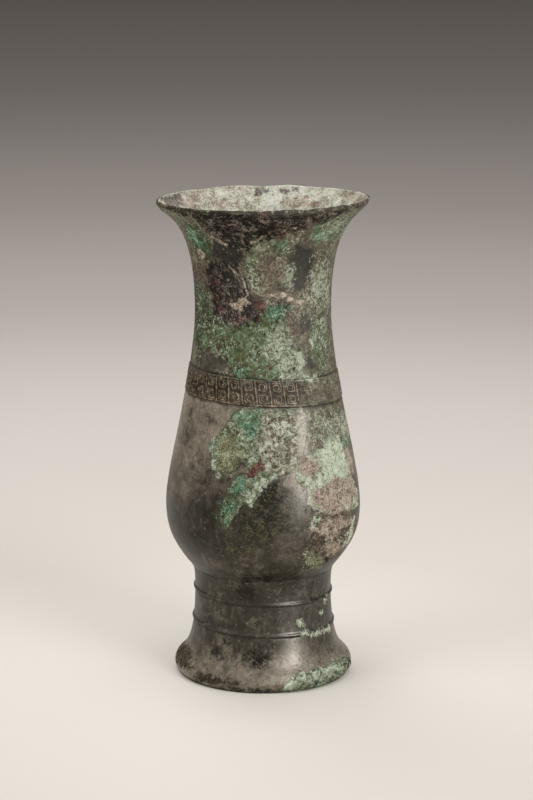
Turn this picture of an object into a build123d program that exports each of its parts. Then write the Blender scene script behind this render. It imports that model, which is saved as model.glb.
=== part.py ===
from build123d import *
import os
from math import cos, radians, sin

# Slender bronze wine vessel with a flared mouth, a round belly and a ring foot.
# Millimetres, +Z up, origin at the centre of the foot's ground plane.
# The front of the vessel, which carries most of the corrosion crust, faces -Y.

# Heights, each one measured from the level below it
foot_height = 41.0        # ground to the seat where the belly sits on the foot
belly_rise = 24.0         # seat to the widest ring of the belly
neck_rise = 75.0          # widest ring of the belly to the narrowest ring of the neck
flare_rise = 40.0         # narrowest ring of the neck to the top of the lip
ankle_drop = 7.0          # seat down to the narrowest ring of the foot
flange_height = 3.6       # ground to the widest ring of the foot
floor_rise = 0.5          # seat up to the inside of the vessel's floor, at the axis

# Outside radii
mouth_radius = 39.3
neck_radius = 25.2
belly_radius = 36.55
seat_radius = 26.3        # belly, where it meets the foot
foot_top_radius = 26.0
ankle_radius = 25.75
flange_radius = 33.7
base_radius = 32.4

# Wall thicknesses
wall = 2.2
lip = 1.5
floor_wall = 2.4
foot_wall = 2.4
flange_wall = 3.3         # level thickness at the widest ring of the foot
base_land = 2.2           # width of the ring that stands on the ground

# Slopes of the curves at their corners, in degrees above the horizontal
belly_slope = 50.0
mouth_slope = 77.0
inner_mouth_slope = 69.0
flange_slope = 102.0
base_slope = 62.0
inner_base_slope = 76.0

# Fullness of each curve: the reach of its handles as a share of its own rise
belly_low_pull = 0.53
belly_high_pull = 0.39
shoulder_low_pull = 0.21
shoulder_high_pull = 0.33
flare_low_pull = 0.90
flare_high_pull = 0.14
inner_flare_low_pull = 0.85
inner_flare_high_pull = 0.085
foot_low_pull = 0.20
foot_high_pull = 0.97
inner_foot_low_pull = 0.12
inner_foot_high_pull = 1.0
edge_pull = 0.35
bowl_floor_pull = 0.89    # share of the inside radius of the belly
bowl_side_pull = 0.58

# Joint between belly and foot: a ring tenon under the belly enters the foot
tenon_depth = 6.0
tenon_wall = 2.0
tenon_clearance = 0.15

# Raised strings round the foot
string_radius = 0.6
upper_string_drop = 9.1   # seat down to the string
lower_string_drop = 20.8

# Spiral band, two half rings let into a recess in the shoulder
band_rise = 42.5          # widest ring of the belly up to the lower edge of the band
band_width = 10.0
recess_depth = 0.8
band_proud = 0.35
band_clearance = 0.1
band_border = 0.8
spiral_columns = 17       # per half ring
spiral_turn = 1.0         # distance between neighbouring passes of one groove
groove_width = 0.5
groove_depth = 0.45

# Chaplets, the square bronze spacers that held the casting core
chaplet_size = 5.0
belly_chaplet_rise = 10.0           # seat up to the chaplets in the belly wall
belly_chaplet_turns = (55, 175, 295)
floor_chaplet_radius = 13.0
floor_chaplets_count = 4

# Corrosion crusts: how thick, how far from the lip, the band or the ground, and how tall
crust_thickness = 0.7
lip_crust_thickness = 0.5
crust_clearance = 0.05
lip_crust_gap = 1.8
lip_crust_height = 14.2
neck_crust_gap = 1.0
neck_crust_height = 25.5
belly_crust_gap = 1.0
belly_crust_height = 42.5
right_crust_gap = 13.0
right_crust_height = 27.5
low_crust_gap = 43.0
low_crust_height = 18.0
edge_crust_gap = 0.8
edge_crust_height = 5.8

# Levels and radii that follow from the sizes above
belly_level = foot_height + belly_rise
neck_level = belly_level + neck_rise
height = neck_level + flare_rise
ankle_level = foot_height - ankle_drop
floor_level = foot_height + floor_rise
band_low = belly_level + band_rise
band_top = band_low + band_width
foot_bore = ankle_radius - foot_wall
tenon_radius = foot_bore - tenon_clearance
reach = 2 * max(mouth_radius, belly_radius, flange_radius)


def curve(low, high, low_pull, high_pull, low_slope=90.0, high_slope=90.0):
    """Control points of a curve that leaves low and reaches high at the given slopes."""
    rise = high[1] - low[1]
    low_reach = low_pull * rise
    high_reach = high_pull * rise
    low_handle = (
        low[0] + low_reach * cos(radians(low_slope)),
        low[1] + low_reach * sin(radians(low_slope)),
    )
    high_handle = (
        high[0] - high_reach * cos(radians(high_slope)),
        high[1] - high_reach * sin(radians(high_slope)),
    )
    return [low, low_handle, high_handle, high]


def widened(points, amount):
    """The same curve with every radius larger by the amount."""
    return [(radius + amount, level) for radius, level in points]


def radius_at(points, level):
    """Radius of a rising curve at one level, found by halving."""
    low = 0.0
    high = 1.0
    for _ in range(50):
        t = (low + high) / 2
        weights = ((1 - t) ** 3, 3 * (1 - t) ** 2 * t, 3 * (1 - t) * t * t, t ** 3)
        found = sum(weight * point[1] for weight, point in zip(weights, points))
        if found < level:
            low = t
        else:
            high = t
    return sum(weight * point[0] for weight, point in zip(weights, points))


# Outside of the vessel, from the seat to the lip
seat = (seat_radius, foot_height)
belly = (belly_radius, belly_level)
neck = (neck_radius, neck_level)
lip_outer = (mouth_radius, height - lip / 2)
lip_top = (mouth_radius - lip / 2, height)
lip_inner = (mouth_radius - lip, height - lip / 2)
belly_curve = curve(seat, belly, belly_low_pull, belly_high_pull, low_slope=belly_slope)
shoulder_curve = curve(belly, neck, shoulder_low_pull, shoulder_high_pull)
flare_curve = curve(neck, lip_outer, flare_low_pull, flare_high_pull, high_slope=mouth_slope)

# Inside of the vessel, from the floor to the lip
inner_belly = (belly_radius - wall, belly_level)
inner_neck = (neck_radius - wall, neck_level)
bowl_rise = belly_level - floor_level
bowl_curve = [
    (0.0, floor_level),
    (bowl_floor_pull * inner_belly[0], floor_level),
    (inner_belly[0], belly_level - bowl_side_pull * bowl_rise),
    inner_belly,
]
inner_shoulder_curve = curve(inner_belly, inner_neck, shoulder_low_pull, shoulder_high_pull)
inner_flare_curve = curve(
    inner_neck,
    lip_inner,
    inner_flare_low_pull,
    inner_flare_high_pull,
    high_slope=inner_mouth_slope,
)

# Outside and inside of the foot, from the ground up
base = (base_radius, 0.0)
flange = (flange_radius, flange_height)
ankle = (ankle_radius, ankle_level)
inner_base = (base_radius - base_land, 0.0)
inner_flange = (flange_radius - flange_wall, flange_height)
inner_ankle = (foot_bore, ankle_level)
edge_curve = curve(base, flange, edge_pull, edge_pull, low_slope=base_slope)
foot_curve = curve(flange, ankle, foot_low_pull, foot_high_pull, low_slope=flange_slope)
inner_edge_curve = curve(
    inner_base, inner_flange, edge_pull, edge_pull, low_slope=inner_base_slope
)
inner_foot_curve = curve(
    inner_flange,
    inner_ankle,
    inner_foot_low_pull,
    inner_foot_high_pull,
    low_slope=flange_slope,
)


def outward_plane(turn, level):
    """Upright plane on the vessel's axis, facing out at a turn from the front."""
    along = (cos(radians(turn)), sin(radians(turn)), 0)
    outward = (sin(radians(turn)), -cos(radians(turn)), 0)
    return Plane(origin=(0, 0, level), x_dir=along, z_dir=outward)


# Vessel from seat to lip, before the chaplets are let in
with BuildPart() as vessel_wall:
    with BuildSketch(Plane.XZ):
        with BuildLine():
            Bezier(*belly_curve)
            Bezier(*shoulder_curve)
            Bezier(*flare_curve)
            ThreePointArc(lip_outer, lip_top, lip_inner)
            Bezier(*inner_flare_curve)
            Bezier(*inner_shoulder_curve)
            Bezier(*bowl_curve)
            Polyline(
                (0, floor_level),
                (0, floor_level - floor_wall),
                (tenon_radius - tenon_wall, floor_level - floor_wall),
                (tenon_radius - tenon_wall, foot_height - tenon_depth),
                (tenon_radius, foot_height - tenon_depth),
                (tenon_radius, foot_height),
                seat,
            )
        make_face()
    revolve(axis=Axis.Z)
    # Recess that takes the spiral band
    recess_low = radius_at(shoulder_curve, band_low) - recess_depth
    recess_top = radius_at(shoulder_curve, band_top) - recess_depth
    with BuildSketch(Plane.XZ):
        with BuildLine():
            Polyline(
                (recess_low, band_low),
                (reach, band_low),
                (reach, band_top),
                (recess_top, band_top),
                close=True,
            )
        make_face()
    revolve(axis=Axis.Z, mode=Mode.SUBTRACT)

# Square spaces that the chaplets fill, through the belly wall and the floor
with BuildPart() as belly_chaplet_spaces:
    for turn in belly_chaplet_turns:
        with BuildSketch(outward_plane(turn, foot_height + belly_chaplet_rise)):
            Rectangle(chaplet_size, chaplet_size)
        extrude(amount=reach)

with BuildPart() as floor_chaplet_spaces:
    with BuildSketch(Plane.XY.offset(floor_level - 2 * floor_wall)):
        with PolarLocations(floor_chaplet_radius, floor_chaplets_count):
            Rectangle(chaplet_size, chaplet_size)
    extrude(amount=belly_rise)

with BuildPart() as vessel_body:
    add(vessel_wall.part)
    add(belly_chaplet_spaces.part, mode=Mode.SUBTRACT)
    add(floor_chaplet_spaces.part, mode=Mode.SUBTRACT)

with BuildPart() as belly_chaplets:
    add(vessel_wall.part)
    add(belly_chaplet_spaces.part, mode=Mode.INTERSECT)

with BuildPart() as floor_chaplets:
    add(vessel_wall.part)
    add(floor_chaplet_spaces.part, mode=Mode.INTERSECT)

# Ring foot with its socket, flared flange and two raised strings
with BuildPart() as ring_foot:
    with BuildSketch(Plane.XZ):
        with BuildLine():
            Bezier(*edge_curve)
            Bezier(*foot_curve)
            Polyline(
                ankle,
                (foot_top_radius, foot_height),
                (foot_bore, foot_height),
                inner_ankle,
            )
            Bezier(*inner_foot_curve)
            Bezier(*inner_edge_curve)
            Line(inner_base, base)
        make_face()
    revolve(axis=Axis.Z)
    for drop in (upper_string_drop, lower_string_drop):
        string_level = foot_height - drop
        with BuildSketch(Plane.XZ):
            with Locations((radius_at(foot_curve, string_level), string_level)):
                Circle(string_radius)
        revolve(axis=Axis.Z)

# Spiral band: the section of the ring and the groove of one square spiral
ring_low = band_low + band_clearance
ring_top = band_top - band_clearance
face_low = radius_at(shoulder_curve, ring_low) + band_proud
face_top = radius_at(shoulder_curve, ring_top) + band_proud
lean = (face_low - face_top) / (ring_top - ring_low)
recess_lean = (recess_low - recess_top) / band_width
row_height = (ring_top - ring_low - 2 * band_border) / 2
column_turn = 180.0 / spiral_columns


def spiral_path(half_width, half_height, side):
    """Corners of a square spiral that winds inwards, mirrored by side."""
    step = spiral_turn
    corners = [
        (-half_width, -half_height),
        (half_width, -half_height),
        (half_width, half_height),
        (-half_width, half_height),
        (-half_width, -half_height + step),
        (half_width - step, -half_height + step),
        (half_width - step, half_height - step),
        (-half_width + step, half_height - step),
    ]
    return [(side * across, up) for across, up in corners]


def spiral_plane(turn, level):
    """Plane on the sloping face of the band, facing out at a turn from the front."""
    radius = face_low - lean * (level - ring_low)
    along = (cos(radians(turn)), sin(radians(turn)), 0)
    outward = (sin(radians(turn)), -cos(radians(turn)), lean)
    centre = (radius * sin(radians(turn)), -radius * cos(radians(turn)), level)
    return Plane(origin=centre, x_dir=along, z_dir=outward)


with BuildPart() as leiwen_band_front:
    with BuildSketch(Plane.XZ):
        with BuildLine():
            Polyline(
                (recess_low - recess_lean * band_clearance, ring_low),
                (face_low, ring_low),
                (face_top, ring_top),
                (recess_top + recess_lean * band_clearance, ring_top),
                close=True,
            )
        make_face()
    revolve(axis=Axis.Z, revolution_arc=-180)
    for column in range(spiral_columns):
        turn = -90 + (column + 0.5) * column_turn
        for row in (-1, 1):
            level = (ring_low + ring_top + row * row_height) / 2
            radius = face_low - lean * (level - ring_low)
            half_width = radius * sin(radians(column_turn / 2)) - groove_width
            half_height = row_height / 2 - groove_width
            with BuildSketch(spiral_plane(turn, level)):
                with BuildLine():
                    Polyline(*spiral_path(half_width, half_height, row))
                trace(line_width=groove_width)
    extrude(amount=groove_depth, both=True, mode=Mode.SUBTRACT)

with BuildPart() as leiwen_band_back:
    add(leiwen_band_front.part.rotate(Axis.Z, 180))


def crust(curves, thickness, facing, near, far, outline):
    """Crust on a stretch of the outside, between two levels.

    The outline is a list of turns from the front, in degrees, each with the share
    of the way from the near level to the far one.
    """
    under = [widened(points, crust_clearance) for points in curves]
    low = under[0][0]
    high = under[-1][-1]
    corners = []
    for turn, share in outline:
        level = near + share * (far - near)
        below = [points for points in curves if points[0][1] <= level]
        stretch = below[-1] if below else curves[0]
        radius = radius_at(stretch, level) + thickness
        corners.append((radius * sin(radians(turn - facing)), level))
    with BuildPart() as layer:
        with BuildSketch(Plane.XZ):
            with BuildLine():
                for points in under:
                    Bezier(*points)
                    Bezier(*widened(points, thickness))
                Line(low, (low[0] + thickness, low[1]))
                Line(high, (high[0] + thickness, high[1]))
            make_face()
        revolve(axis=Axis.Z)
        with BuildSketch(outward_plane(facing, 0)):
            with BuildLine():
                Spline(*corners, periodic=True)
            make_face()
        extrude(amount=reach, mode=Mode.INTERSECT)
    return layer.part


# Dark soil crust under the front of the lip
crust_lip_front = crust(
    [flare_curve],
    lip_crust_thickness,
    0,
    height - lip_crust_gap,
    height - lip_crust_gap - lip_crust_height,
    [(-46, 0.10), (-28, 0.01), (0, 0), (26, 0.01), (44, 0.06), (33, 0.26), (26, 0.47),
     (14, 0.61), (3, 0.75), (-7, 0.93), (-16, 1), (-25, 0.86), (-34, 0.61), (-41, 0.33)],
)

# Green crust on the front of the neck, above the band
crust_neck_front = crust(
    [shoulder_curve, flare_curve],
    crust_thickness,
    -15,
    band_top + neck_crust_gap,
    band_top + neck_crust_gap + neck_crust_height,
    [(-44, 0.74), (-33, 0.69), (-20, 0.71), (-8, 0.80), (2, 0.96), (12, 1), (21, 0.98),
     (18.5, 0.78), (19, 0.55), (27, 0.37), (34, 0.27), (34, 0.06), (25, 0.01), (10, 0),
     (-5, 0), (-18, 0.02), (-28, 0.14), (-37, 0.33), (-52, 0.35), (-65, 0.31), (-69, 0.49),
     (-63, 0.69)],
)

# Lobed crust with a tongue on the front of the belly, below the band
crust_belly_front = crust(
    [belly_curve, shoulder_curve],
    crust_thickness,
    0,
    band_low - belly_crust_gap,
    band_low - belly_crust_gap - belly_crust_height,
    [(-22, 0.04), (-14, 0.01), (0, 0), (15, 0.01), (28, 0.03), (31.5, 0.17), (29, 0.33),
     (23, 0.44), (14, 0.52), (6, 0.57), (-1, 0.65), (-8, 0.78), (-15, 0.89), (-21.5, 1),
     (-26, 0.94), (-23.5, 0.79), (-19, 0.62), (-14.5, 0.54), (-23, 0.55), (-31, 0.50),
     (-35, 0.36), (-33, 0.22), (-27, 0.13)],
)

# Pale crust on the right of the belly
crust_belly_right = crust(
    [belly_curve, shoulder_curve],
    crust_thickness,
    47,
    band_low - right_crust_gap,
    band_low - right_crust_gap - right_crust_height,
    [(48, 0), (59, 0.09), (66, 0.31), (69, 0.56), (73, 0.78), (71, 0.98), (60, 1), (47, 0.98),
     (36, 0.94), (29.5, 0.78), (28.5, 0.62), (22.5, 0.44), (25, 0.27), (32, 0.18), (40, 0.13)],
)

# Brown crust low on the right of the belly
crust_belly_low = crust(
    [belly_curve, shoulder_curve],
    crust_thickness,
    45,
    band_low - low_crust_gap,
    band_low - low_crust_gap - low_crust_height,
    [(34, 0.06), (46, 0), (58, 0.14), (63, 0.47), (60, 0.75), (52, 0.92), (41, 1), (31, 0.97),
     (26.5, 0.69), (28.5, 0.36)],
)

# Green crust along the right edge of the foot
crust_foot_edge = crust(
    [edge_curve, foot_curve],
    crust_thickness,
    48,
    edge_crust_gap,
    edge_crust_gap + edge_crust_height,
    [(16, 0.07), (32, 0), (50, 0), (68, 0.02), (80, 0.2), (78, 0.81), (64, 1), (46, 0.9),
     (30, 0.72), (18, 0.48)],
)

pieces = {
    "vessel_body": vessel_body.part,
    "ring_foot": ring_foot.part,
    "leiwen_band_front": leiwen_band_front.part,
    "leiwen_band_back": leiwen_band_back.part,
    "belly_chaplets": belly_chaplets.part,
    "floor_chaplets": floor_chaplets.part,
    "crust_lip_front": crust_lip_front,
    "crust_neck_front": crust_neck_front,
    "crust_belly_front": crust_belly_front,
    "crust_belly_right": crust_belly_right,
    "crust_belly_low": crust_belly_low,
    "crust_foot_edge": crust_foot_edge,
}

os.makedirs("parts", exist_ok=True)
for name, piece in pieces.items():
    piece.label = name
    export_step(piece, f"parts/{name}.step")
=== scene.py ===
from itertools import product
from math import cos, pi, radians, sin, tan

import bpy
import numpy as np
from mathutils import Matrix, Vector


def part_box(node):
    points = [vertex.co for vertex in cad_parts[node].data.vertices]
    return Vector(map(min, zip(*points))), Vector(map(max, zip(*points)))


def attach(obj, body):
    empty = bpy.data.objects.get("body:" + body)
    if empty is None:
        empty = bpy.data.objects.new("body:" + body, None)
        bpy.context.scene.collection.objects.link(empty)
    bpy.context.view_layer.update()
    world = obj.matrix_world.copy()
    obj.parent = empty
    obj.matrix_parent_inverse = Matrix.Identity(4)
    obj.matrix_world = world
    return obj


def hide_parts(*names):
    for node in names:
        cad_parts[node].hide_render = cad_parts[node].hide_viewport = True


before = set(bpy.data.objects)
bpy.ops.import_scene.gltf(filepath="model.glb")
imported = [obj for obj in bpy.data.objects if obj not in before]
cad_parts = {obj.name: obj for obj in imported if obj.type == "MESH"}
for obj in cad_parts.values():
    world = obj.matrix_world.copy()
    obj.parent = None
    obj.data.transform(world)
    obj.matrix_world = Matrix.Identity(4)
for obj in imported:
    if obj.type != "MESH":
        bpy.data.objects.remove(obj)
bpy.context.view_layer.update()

# Old bronze wine vessel under a patchy corrosion crust.
# Sizes are in millimetres. A turn is an angle in degrees from the front, growing to the right.
MM = 0.001

# Camera and picture
PHOTO_WIDTH = 533
PHOTO_HEIGHT = 800
FOCAL_PIXELS = 2265.7
SENSOR_WIDTH = 36.0
CAMERA_PLACE = (1.3, -828.6, 281.8)
CAMERA_PITCH = radians(12.107)
PIXEL = 0.37              # size of a photo pixel on the wall
NEAR_SIGHT = 740          # distances from the camera between which a line of sight is searched
FAR_SIGHT = 980
SIGHT_STEP = 0.1

# Lip, strings and band, whose main sizes are those of the solid parts
LIP = 1.5
STRING_LEVELS = (31.9, 20.2)
STRING_RADIUS = 0.6
STRING_FOOTING = (0.2, 0.45)    # height and width of a string's soft footing, in string radii
STRING_GROOVE = (0.1, 0.35)     # depth and width of the groove under a string
GROOVE_PLACE = 1.5        # distance of that groove below the string, in string radii
BAND_PROUD = 0.35
BAND_RECESS = 0.8
BAND_BORDER = 0.8
SPIRAL_COLUMNS = 34
SPIRAL_START = radians(135)     # direction of a spiral's outer end
SPIRAL_TURNS = 1.6
SPIRAL_SHRINK = 0.66      # how much smaller a spiral is at its inner end
SPIRAL_WANDER = (0.25, 3.0)     # how far the spirals wander sideways, and over what distance
SPIRAL_SWAY = (0.2, 3.5)        # the same up and down
SPIRAL_SLANT = 0.12
SPIRAL_POINTS = 28
SPIRAL_ROUNDING = 0.55    # a small power makes a spiral square
SPIRAL_MARGINS = (0.72, 0.3)    # free space beside a spiral, and above and below it
BORDER_LINE = 0.45        # distance of the raised border line from the band's edge
RIDGE_FALL = (0.12, 0.40)       # a raised line falls off between these distances
FILLED_FROM = (43, 55)    # dirt in the grooves sets in between these turns
FILLED_TO = (75, 90)      # and ends between these
FILLED_SHARE = 0.85       # how full the grooves are there
BAND_SETTLE = 0.08        # how far wear has lowered the band
BAND_BEVEL = 0.25         # depth and width of its rounded edges
BAND_GRAIN = (0.05, 1.2)  # height and size of the grains on it
GROOVE_DEPTH = 0.42

# Levels that the frame gives
LIP_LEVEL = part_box("vessel_body")[1].z / MM
RIM_LEVEL = LIP_LEVEL - LIP / 2
SEAT_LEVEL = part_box("ring_foot")[1].z / MM
TENON_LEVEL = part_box("vessel_body")[0].z / MM
UNDERSIDE_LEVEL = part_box("floor_chaplets")[0].z / MM
BAND_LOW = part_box("leiwen_band_front")[0].z / MM
BAND_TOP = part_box("leiwen_band_front")[1].z / MM
BAND_MIDDLE = (BAND_LOW + BAND_TOP) / 2
BOWL_TOP = 65.0           # the floor is a bowl up to this level

# Margins with which wall points are picked from the solid parts
WALL_LEAN = 0.1           # least lean of a normal, outward or inward, on a wall
LEVEL_SLACK = 0.01        # a level may be off by this much
EDGE_GAP = 0.5            # points this close to the band's recess or the tenon are left out
STRING_GAP = 0.3          # and so are those this close to a string
TENON_GAP = 0.2           # the tenon is measured this far below the underside

# Sizes of the visual meshes
BODY_COLUMNS = 276
FOOT_COLUMNS = 288
OUTER_STEP = 0.56         # between rows of the outer wall
INNER_STEP = 2.2
MOUTH_STEP = 0.9
MOUTH_DEPTH = 12          # rows of the inner wall are closer together down to this depth
BOWL_STEP = 3.0
LIP_ROWS = 9
FLOOR_ROWS = 4            # rows on the flat middle of the floor, and the radius of the first
FLOOR_FAN = 2
UNDERSIDE_ROWS = 5        # rows on the underside, and the radius of the last
UNDERSIDE_FAN = 3
EDGE_ROWS = (0.06, 0.16)  # distances of two rows of the wall from each edge of the band
EDGE_FREE = 0.4           # other rows keep this far from that edge
SEAT_ROW = 0.03           # distance of a row from the seam under the belly
SEAT_FREE = 0.3           # the body's other rows keep this far from it
RECESS_SLACK = 0.1        # how far the recess reaches past the band
FOOT_STEP = 0.42
FOOT_INNER_STEP = 1.0
TABLE_ROWS = (0.08, 0.0)  # levels of the foot's lowest rows
TABLE_FREE = 0.2          # its other rows keep this far from the table
STRING_STEP = 0.15
STRING_FINE = 1.2         # reach of the close rows above and below a string
STRING_FREE = 1.3         # other rows keep this far from it
BAND_STEP = 0.18
CRUST_STEP = 0.32
CRUST_MARGIN = 3          # how far a crust's grid reaches past its outline
CRUST_ROOT = 0.4          # how deep a crust reaches into the wall
CRUST_RISE = 0.55         # distance from its edge over which a crust gets thick
CRUST_SKIRT = 0.45        # how far its thin edge runs on, and how deep it dips under the surface
CRUST_DIP = 0.28
DIP_WIDTH = 0.5           # distance over which it dips
CRUST_EVEN = 0.85         # share of a crust's thickness under its lumps
TABLE_GAP = 0.3           # how far a crust keeps from the table and from the top of the lip
LIP_GAP = 0.9
BEAD_CELL = 1.7           # spacing of the beads on a crust, and their radius in spacings
BEAD_SHARE = 0.55
BEAD_EDGE = 1.2           # distance from the edge over which the beads set in
RIM_PLACE = 0.9           # distance of a raised rim from the crust's edge, and its width
RIM_WIDTH = 0.6
LUMP_SHARE = 0.7          # height of a round lump as a share of a half ball
FRONT_CROWDING = 0.45     # how much closer together the columns stand at the front
OVAL_CORNERS = 12
WALL_OVAL_CORNERS = 14
TINY = 1e-9

# Lean of the cast details: band and strings run a little lower on the right, and the lip higher
BAND_LEAN = tan(radians(2.6))
STRING_LEAN = tan(radians(1.8))
LIP_LEAN = tan(radians(-0.7))
BAND_PULL = (8, 22)       # distances from the band's middle between which its lean dies away
STRING_RISE = (8, 17)     # levels between which the lean of the strings sets in
STRING_FALL = (34, 40)    # and dies away

# Uneven surfaces as sums of waves: each a height, a cell size and a seed
WALL_WAVES = ((0.12, 18, 1), (0.05, 5, 2))
LIP_WAVES = ((0.28, 9, 11), (0.16, 2.6, 12), (0.10, 1.2, 13))
FOOT_WAVES = ((0.10, 15, 33), (0.04, 4, 34))
FREE_RISE = (0.2, 3)      # levels between which the foot's unevenness sets in
FREE_FALL = (38, 41)      # and dies away
# Crumbs on dark patches and the film, on green patches and in the mouth: height, size and seed
DARK_CRUMBS = (0.14, 1.9, 3)
GREEN_CRUMBS = (0.10, 1.6, 5)
MOUTH_CRUMBS = (0.16, 3.0, 8)
FILM_SHARE = 0.5          # height of the film's crumbs as a share of those on dark patches
PATCH_EDGE = (-1, 1)      # depths inside a patch between which its crumbs set in
# Rough noise on crusts, in rows of height, cell size, step of the seed and octaves
RAGGED_EDGE = ((0.75, 4.2, 0, 3), (0.45, 1.3, 7, 3))
CRUST_LUMPS = ((0.30, 2.4, 11, 3), (0.16, 0.9, 15, 2))
# Wear: the share that is lost, the noise values between which it sets in, and the cell size
STRING_WEAR = (0.2, (0.1, 0.7), 9)
BAND_WEAR = (0.35, (-0.2, 0.5), 7)
SEAT_SWELL = 0.22         # height and reach of the swelling over the seam under the belly
SEAT_REACH = 1.1
SEAT_FILLET = 4           # how far down the foot's wall bends out to the seam
LIP_WEAR = (14, 1)        # depths under the lip between which its wear and lean grow

# Painted shade in corners, under the strings, at the table and along crust edges, and the rusty lip
BAND_SHADE = (0.35, 0.45)  # distance from the band's edge, and half width
STRING_SHADE = (1.3, 0.4)  # distance below a string, in string radii, and half width
TABLE_SHADE = 1.0          # height above the table
CRUST_SHADE = 0.25         # reach inward from the edge of a crust
FOLD_SHADE = -0.15         # on a cream fold it stays outside the edge
RUSTY_LIP = 1.6           # height of the rusty lip, how far its edge wanders, and the size of the bays
RUST_WANDER = 1.1
RUST_BAY = 5

# Reference radius on which painted outlines are laid flat
FLAT_RADIUS = 30.0
FIELD_LIMIT = 8.0         # largest depth inside or outside a painted outline

# The film's reach down the right side: from a turn to a turn, and down to a level
FILM_TURN = 33.0
FILM_END = 150.0
FILM_FOOT = 86.0
FILM_WANDER = 2.5         # how far its edge wanders, and the size of the bays
FILM_BAY = 9


# Repeatable noise

PRIMES = (374761393, 668265263, 1440662683, 1274126177)
WORD = 0xFFFFFFFF


def lattice(x, y, z, seed):
    """Repeatable random values from 0 to 1 at whole-number places."""
    value = sum(part * prime for part, prime in zip((x, y, z, seed), PRIMES)) & WORD
    value = ((value ^ (value >> 13)) * PRIMES[-1]) & WORD
    return (value ^ (value >> 16)) / (WORD + 1)


def noise(points, size, seed):
    """Smooth noise from -1 to 1 with cells of a given size."""
    scaled = points / size
    base = np.floor(scaled).astype(np.int64)
    part = scaled - base
    eased = part * part * (3 - 2 * part)
    total = np.zeros(len(points))
    for corner in product((0, 1), repeat=3):
        weight = np.prod(np.where(np.array(corner) == 1, eased, 1 - eased), axis=1)
        total += weight * lattice(*(base + corner).T, seed)
    return 2 * total - 1


def rough(points, size, seed, octaves=3):
    """Noise summed over finer and finer cells."""
    return sum(noise(points, size / 2 ** step, seed + step) / 2 ** step for step in range(octaves))


def waves(points, rows):
    """Noise summed over rows of height, cell size and seed."""
    return sum(height * noise(points, size, seed) for height, size, seed in rows)


def cells(points, size, seed):
    """Distance, in cells, from each point to the nearest of a scatter of centres."""
    scaled = points / size
    base = np.floor(scaled).astype(np.int64)
    nearest = np.full(len(points), np.inf)
    for corner in product((-1, 0, 1), repeat=3):
        cell = base + corner
        centre = cell + np.stack([lattice(*cell.T, seed + axis) for axis in range(3)], axis=1)
        nearest = np.minimum(nearest, ((scaled - centre) ** 2).sum(axis=1))
    return np.sqrt(nearest)


def ease(low, high, value):
    """0 below low, 1 above high and a smooth step between them."""
    share = np.clip((value - low) / (high - low), 0, 1)
    return share * share * (3 - 2 * share)


def span(rise, fall, value):
    """1 between a rise and a fall, each a pair of values, and 0 before and after them."""
    return ease(*rise, value) * (1 - ease(*fall, value))


def bell(distance, width):
    """1 at no distance, falling away over a width."""
    return np.exp(-(distance / width) ** 2)


def crumbs(points, weight, height, size, seed):
    """Rough noise of a height, weighted from place to place."""
    return height * weight * rough(points, size, seed)


def crumbled(points, rows, seed):
    """Rough noise summed over rows of height, cell size, step of the seed and octaves."""
    return sum(height * rough(points, size, seed + step, octaves) for height, size, step, octaves in rows)


def wear(points, share, limits, size, seed):
    """1 where a relief is whole, and less by up to a share where it is worn."""
    return 1 - share * ease(*limits, noise(points, size, seed))


# Profiles of the solid parts

def read(items, key):
    """An array of vectors read from mesh items."""
    values = np.empty(len(items) * 3, np.float32)
    items.foreach_get(key, values)
    return values.reshape(-1, 3).astype(float)


def wall_points(node, outward):
    """Radii and levels of the points on a turned part's outer or inner wall."""
    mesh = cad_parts[node].data
    x, y, z = read(mesh.vertices, "co").T / MM
    normal = read(mesh.vertices, "normal")
    radius = np.hypot(x, y)
    lean = (x * normal[:, 0] + y * normal[:, 1]) / np.maximum(radius, 0.001)
    side = lean > WALL_LEAN if outward else lean < -WALL_LEAN
    return radius[side], z[side]


def binned(key, radius, level, size=0.5):
    """Mean radius and level of the points in each small step of a key."""
    steps = np.round(key / size).astype(int)
    _, group = np.unique(steps, return_inverse=True)
    count = np.bincount(group)
    return np.bincount(group, radius) / count, np.bincount(group, level) / count


def smooth_table(radius, level, keep=slice(None), step=0.05):
    """Close levels and their radii, on a smooth curve through the kept points of a wall."""
    radii, levels = binned(level[keep], radius[keep], level[keep])
    slopes = np.gradient(radii, levels)
    fine = np.arange(levels[0], levels[-1], step)
    index = np.clip(np.searchsorted(levels, fine, side="right") - 1, 0, len(levels) - 2)
    gap = levels[index + 1] - levels[index]
    t = (fine - levels[index]) / gap
    return fine, (
        (1 + 2 * t) * (1 - t) ** 2 * radii[index]
        + t * (1 - t) ** 2 * gap * slopes[index]
        + t * t * (3 - 2 * t) * radii[index + 1]
        - t * t * (1 - t) * gap * slopes[index + 1]
    )


def body_tables():
    """Outer wall carried across the recess of the band, and inner wall above the bowl."""
    radius, level = wall_points("vessel_body", True)
    tenon = radius[level < UNDERSIDE_LEVEL].max()
    keep = (level > SEAT_LEVEL - LEVEL_SLACK) & (level < RIM_LEVEL + LEVEL_SLACK)
    keep &= radius > tenon + EDGE_GAP
    keep &= (level < BAND_LOW - EDGE_GAP) | (level > BAND_TOP + EDGE_GAP)
    outside = smooth_table(radius, level, keep)
    radius, level = wall_points("vessel_body", False)
    keep = (level > BOWL_TOP - LEVEL_SLACK) & (level < RIM_LEVEL + LEVEL_SLACK)
    return outside, smooth_table(radius, level, keep)


def foot_tables():
    """Outer wall of the foot without its strings, and inner wall up to the socket of the tenon."""
    radius, level = wall_points("ring_foot", True)
    keep = np.full(len(level), True)
    for string in STRING_LEVELS:
        keep &= abs(level - string) > STRING_RADIUS + STRING_GAP
    return smooth_table(radius, level, keep), smooth_table(*wall_points("ring_foot", False))


BODY_OUTER, BODY_INNER = body_tables()
FOOT_OUTER, FOOT_INNER = foot_tables()


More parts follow.
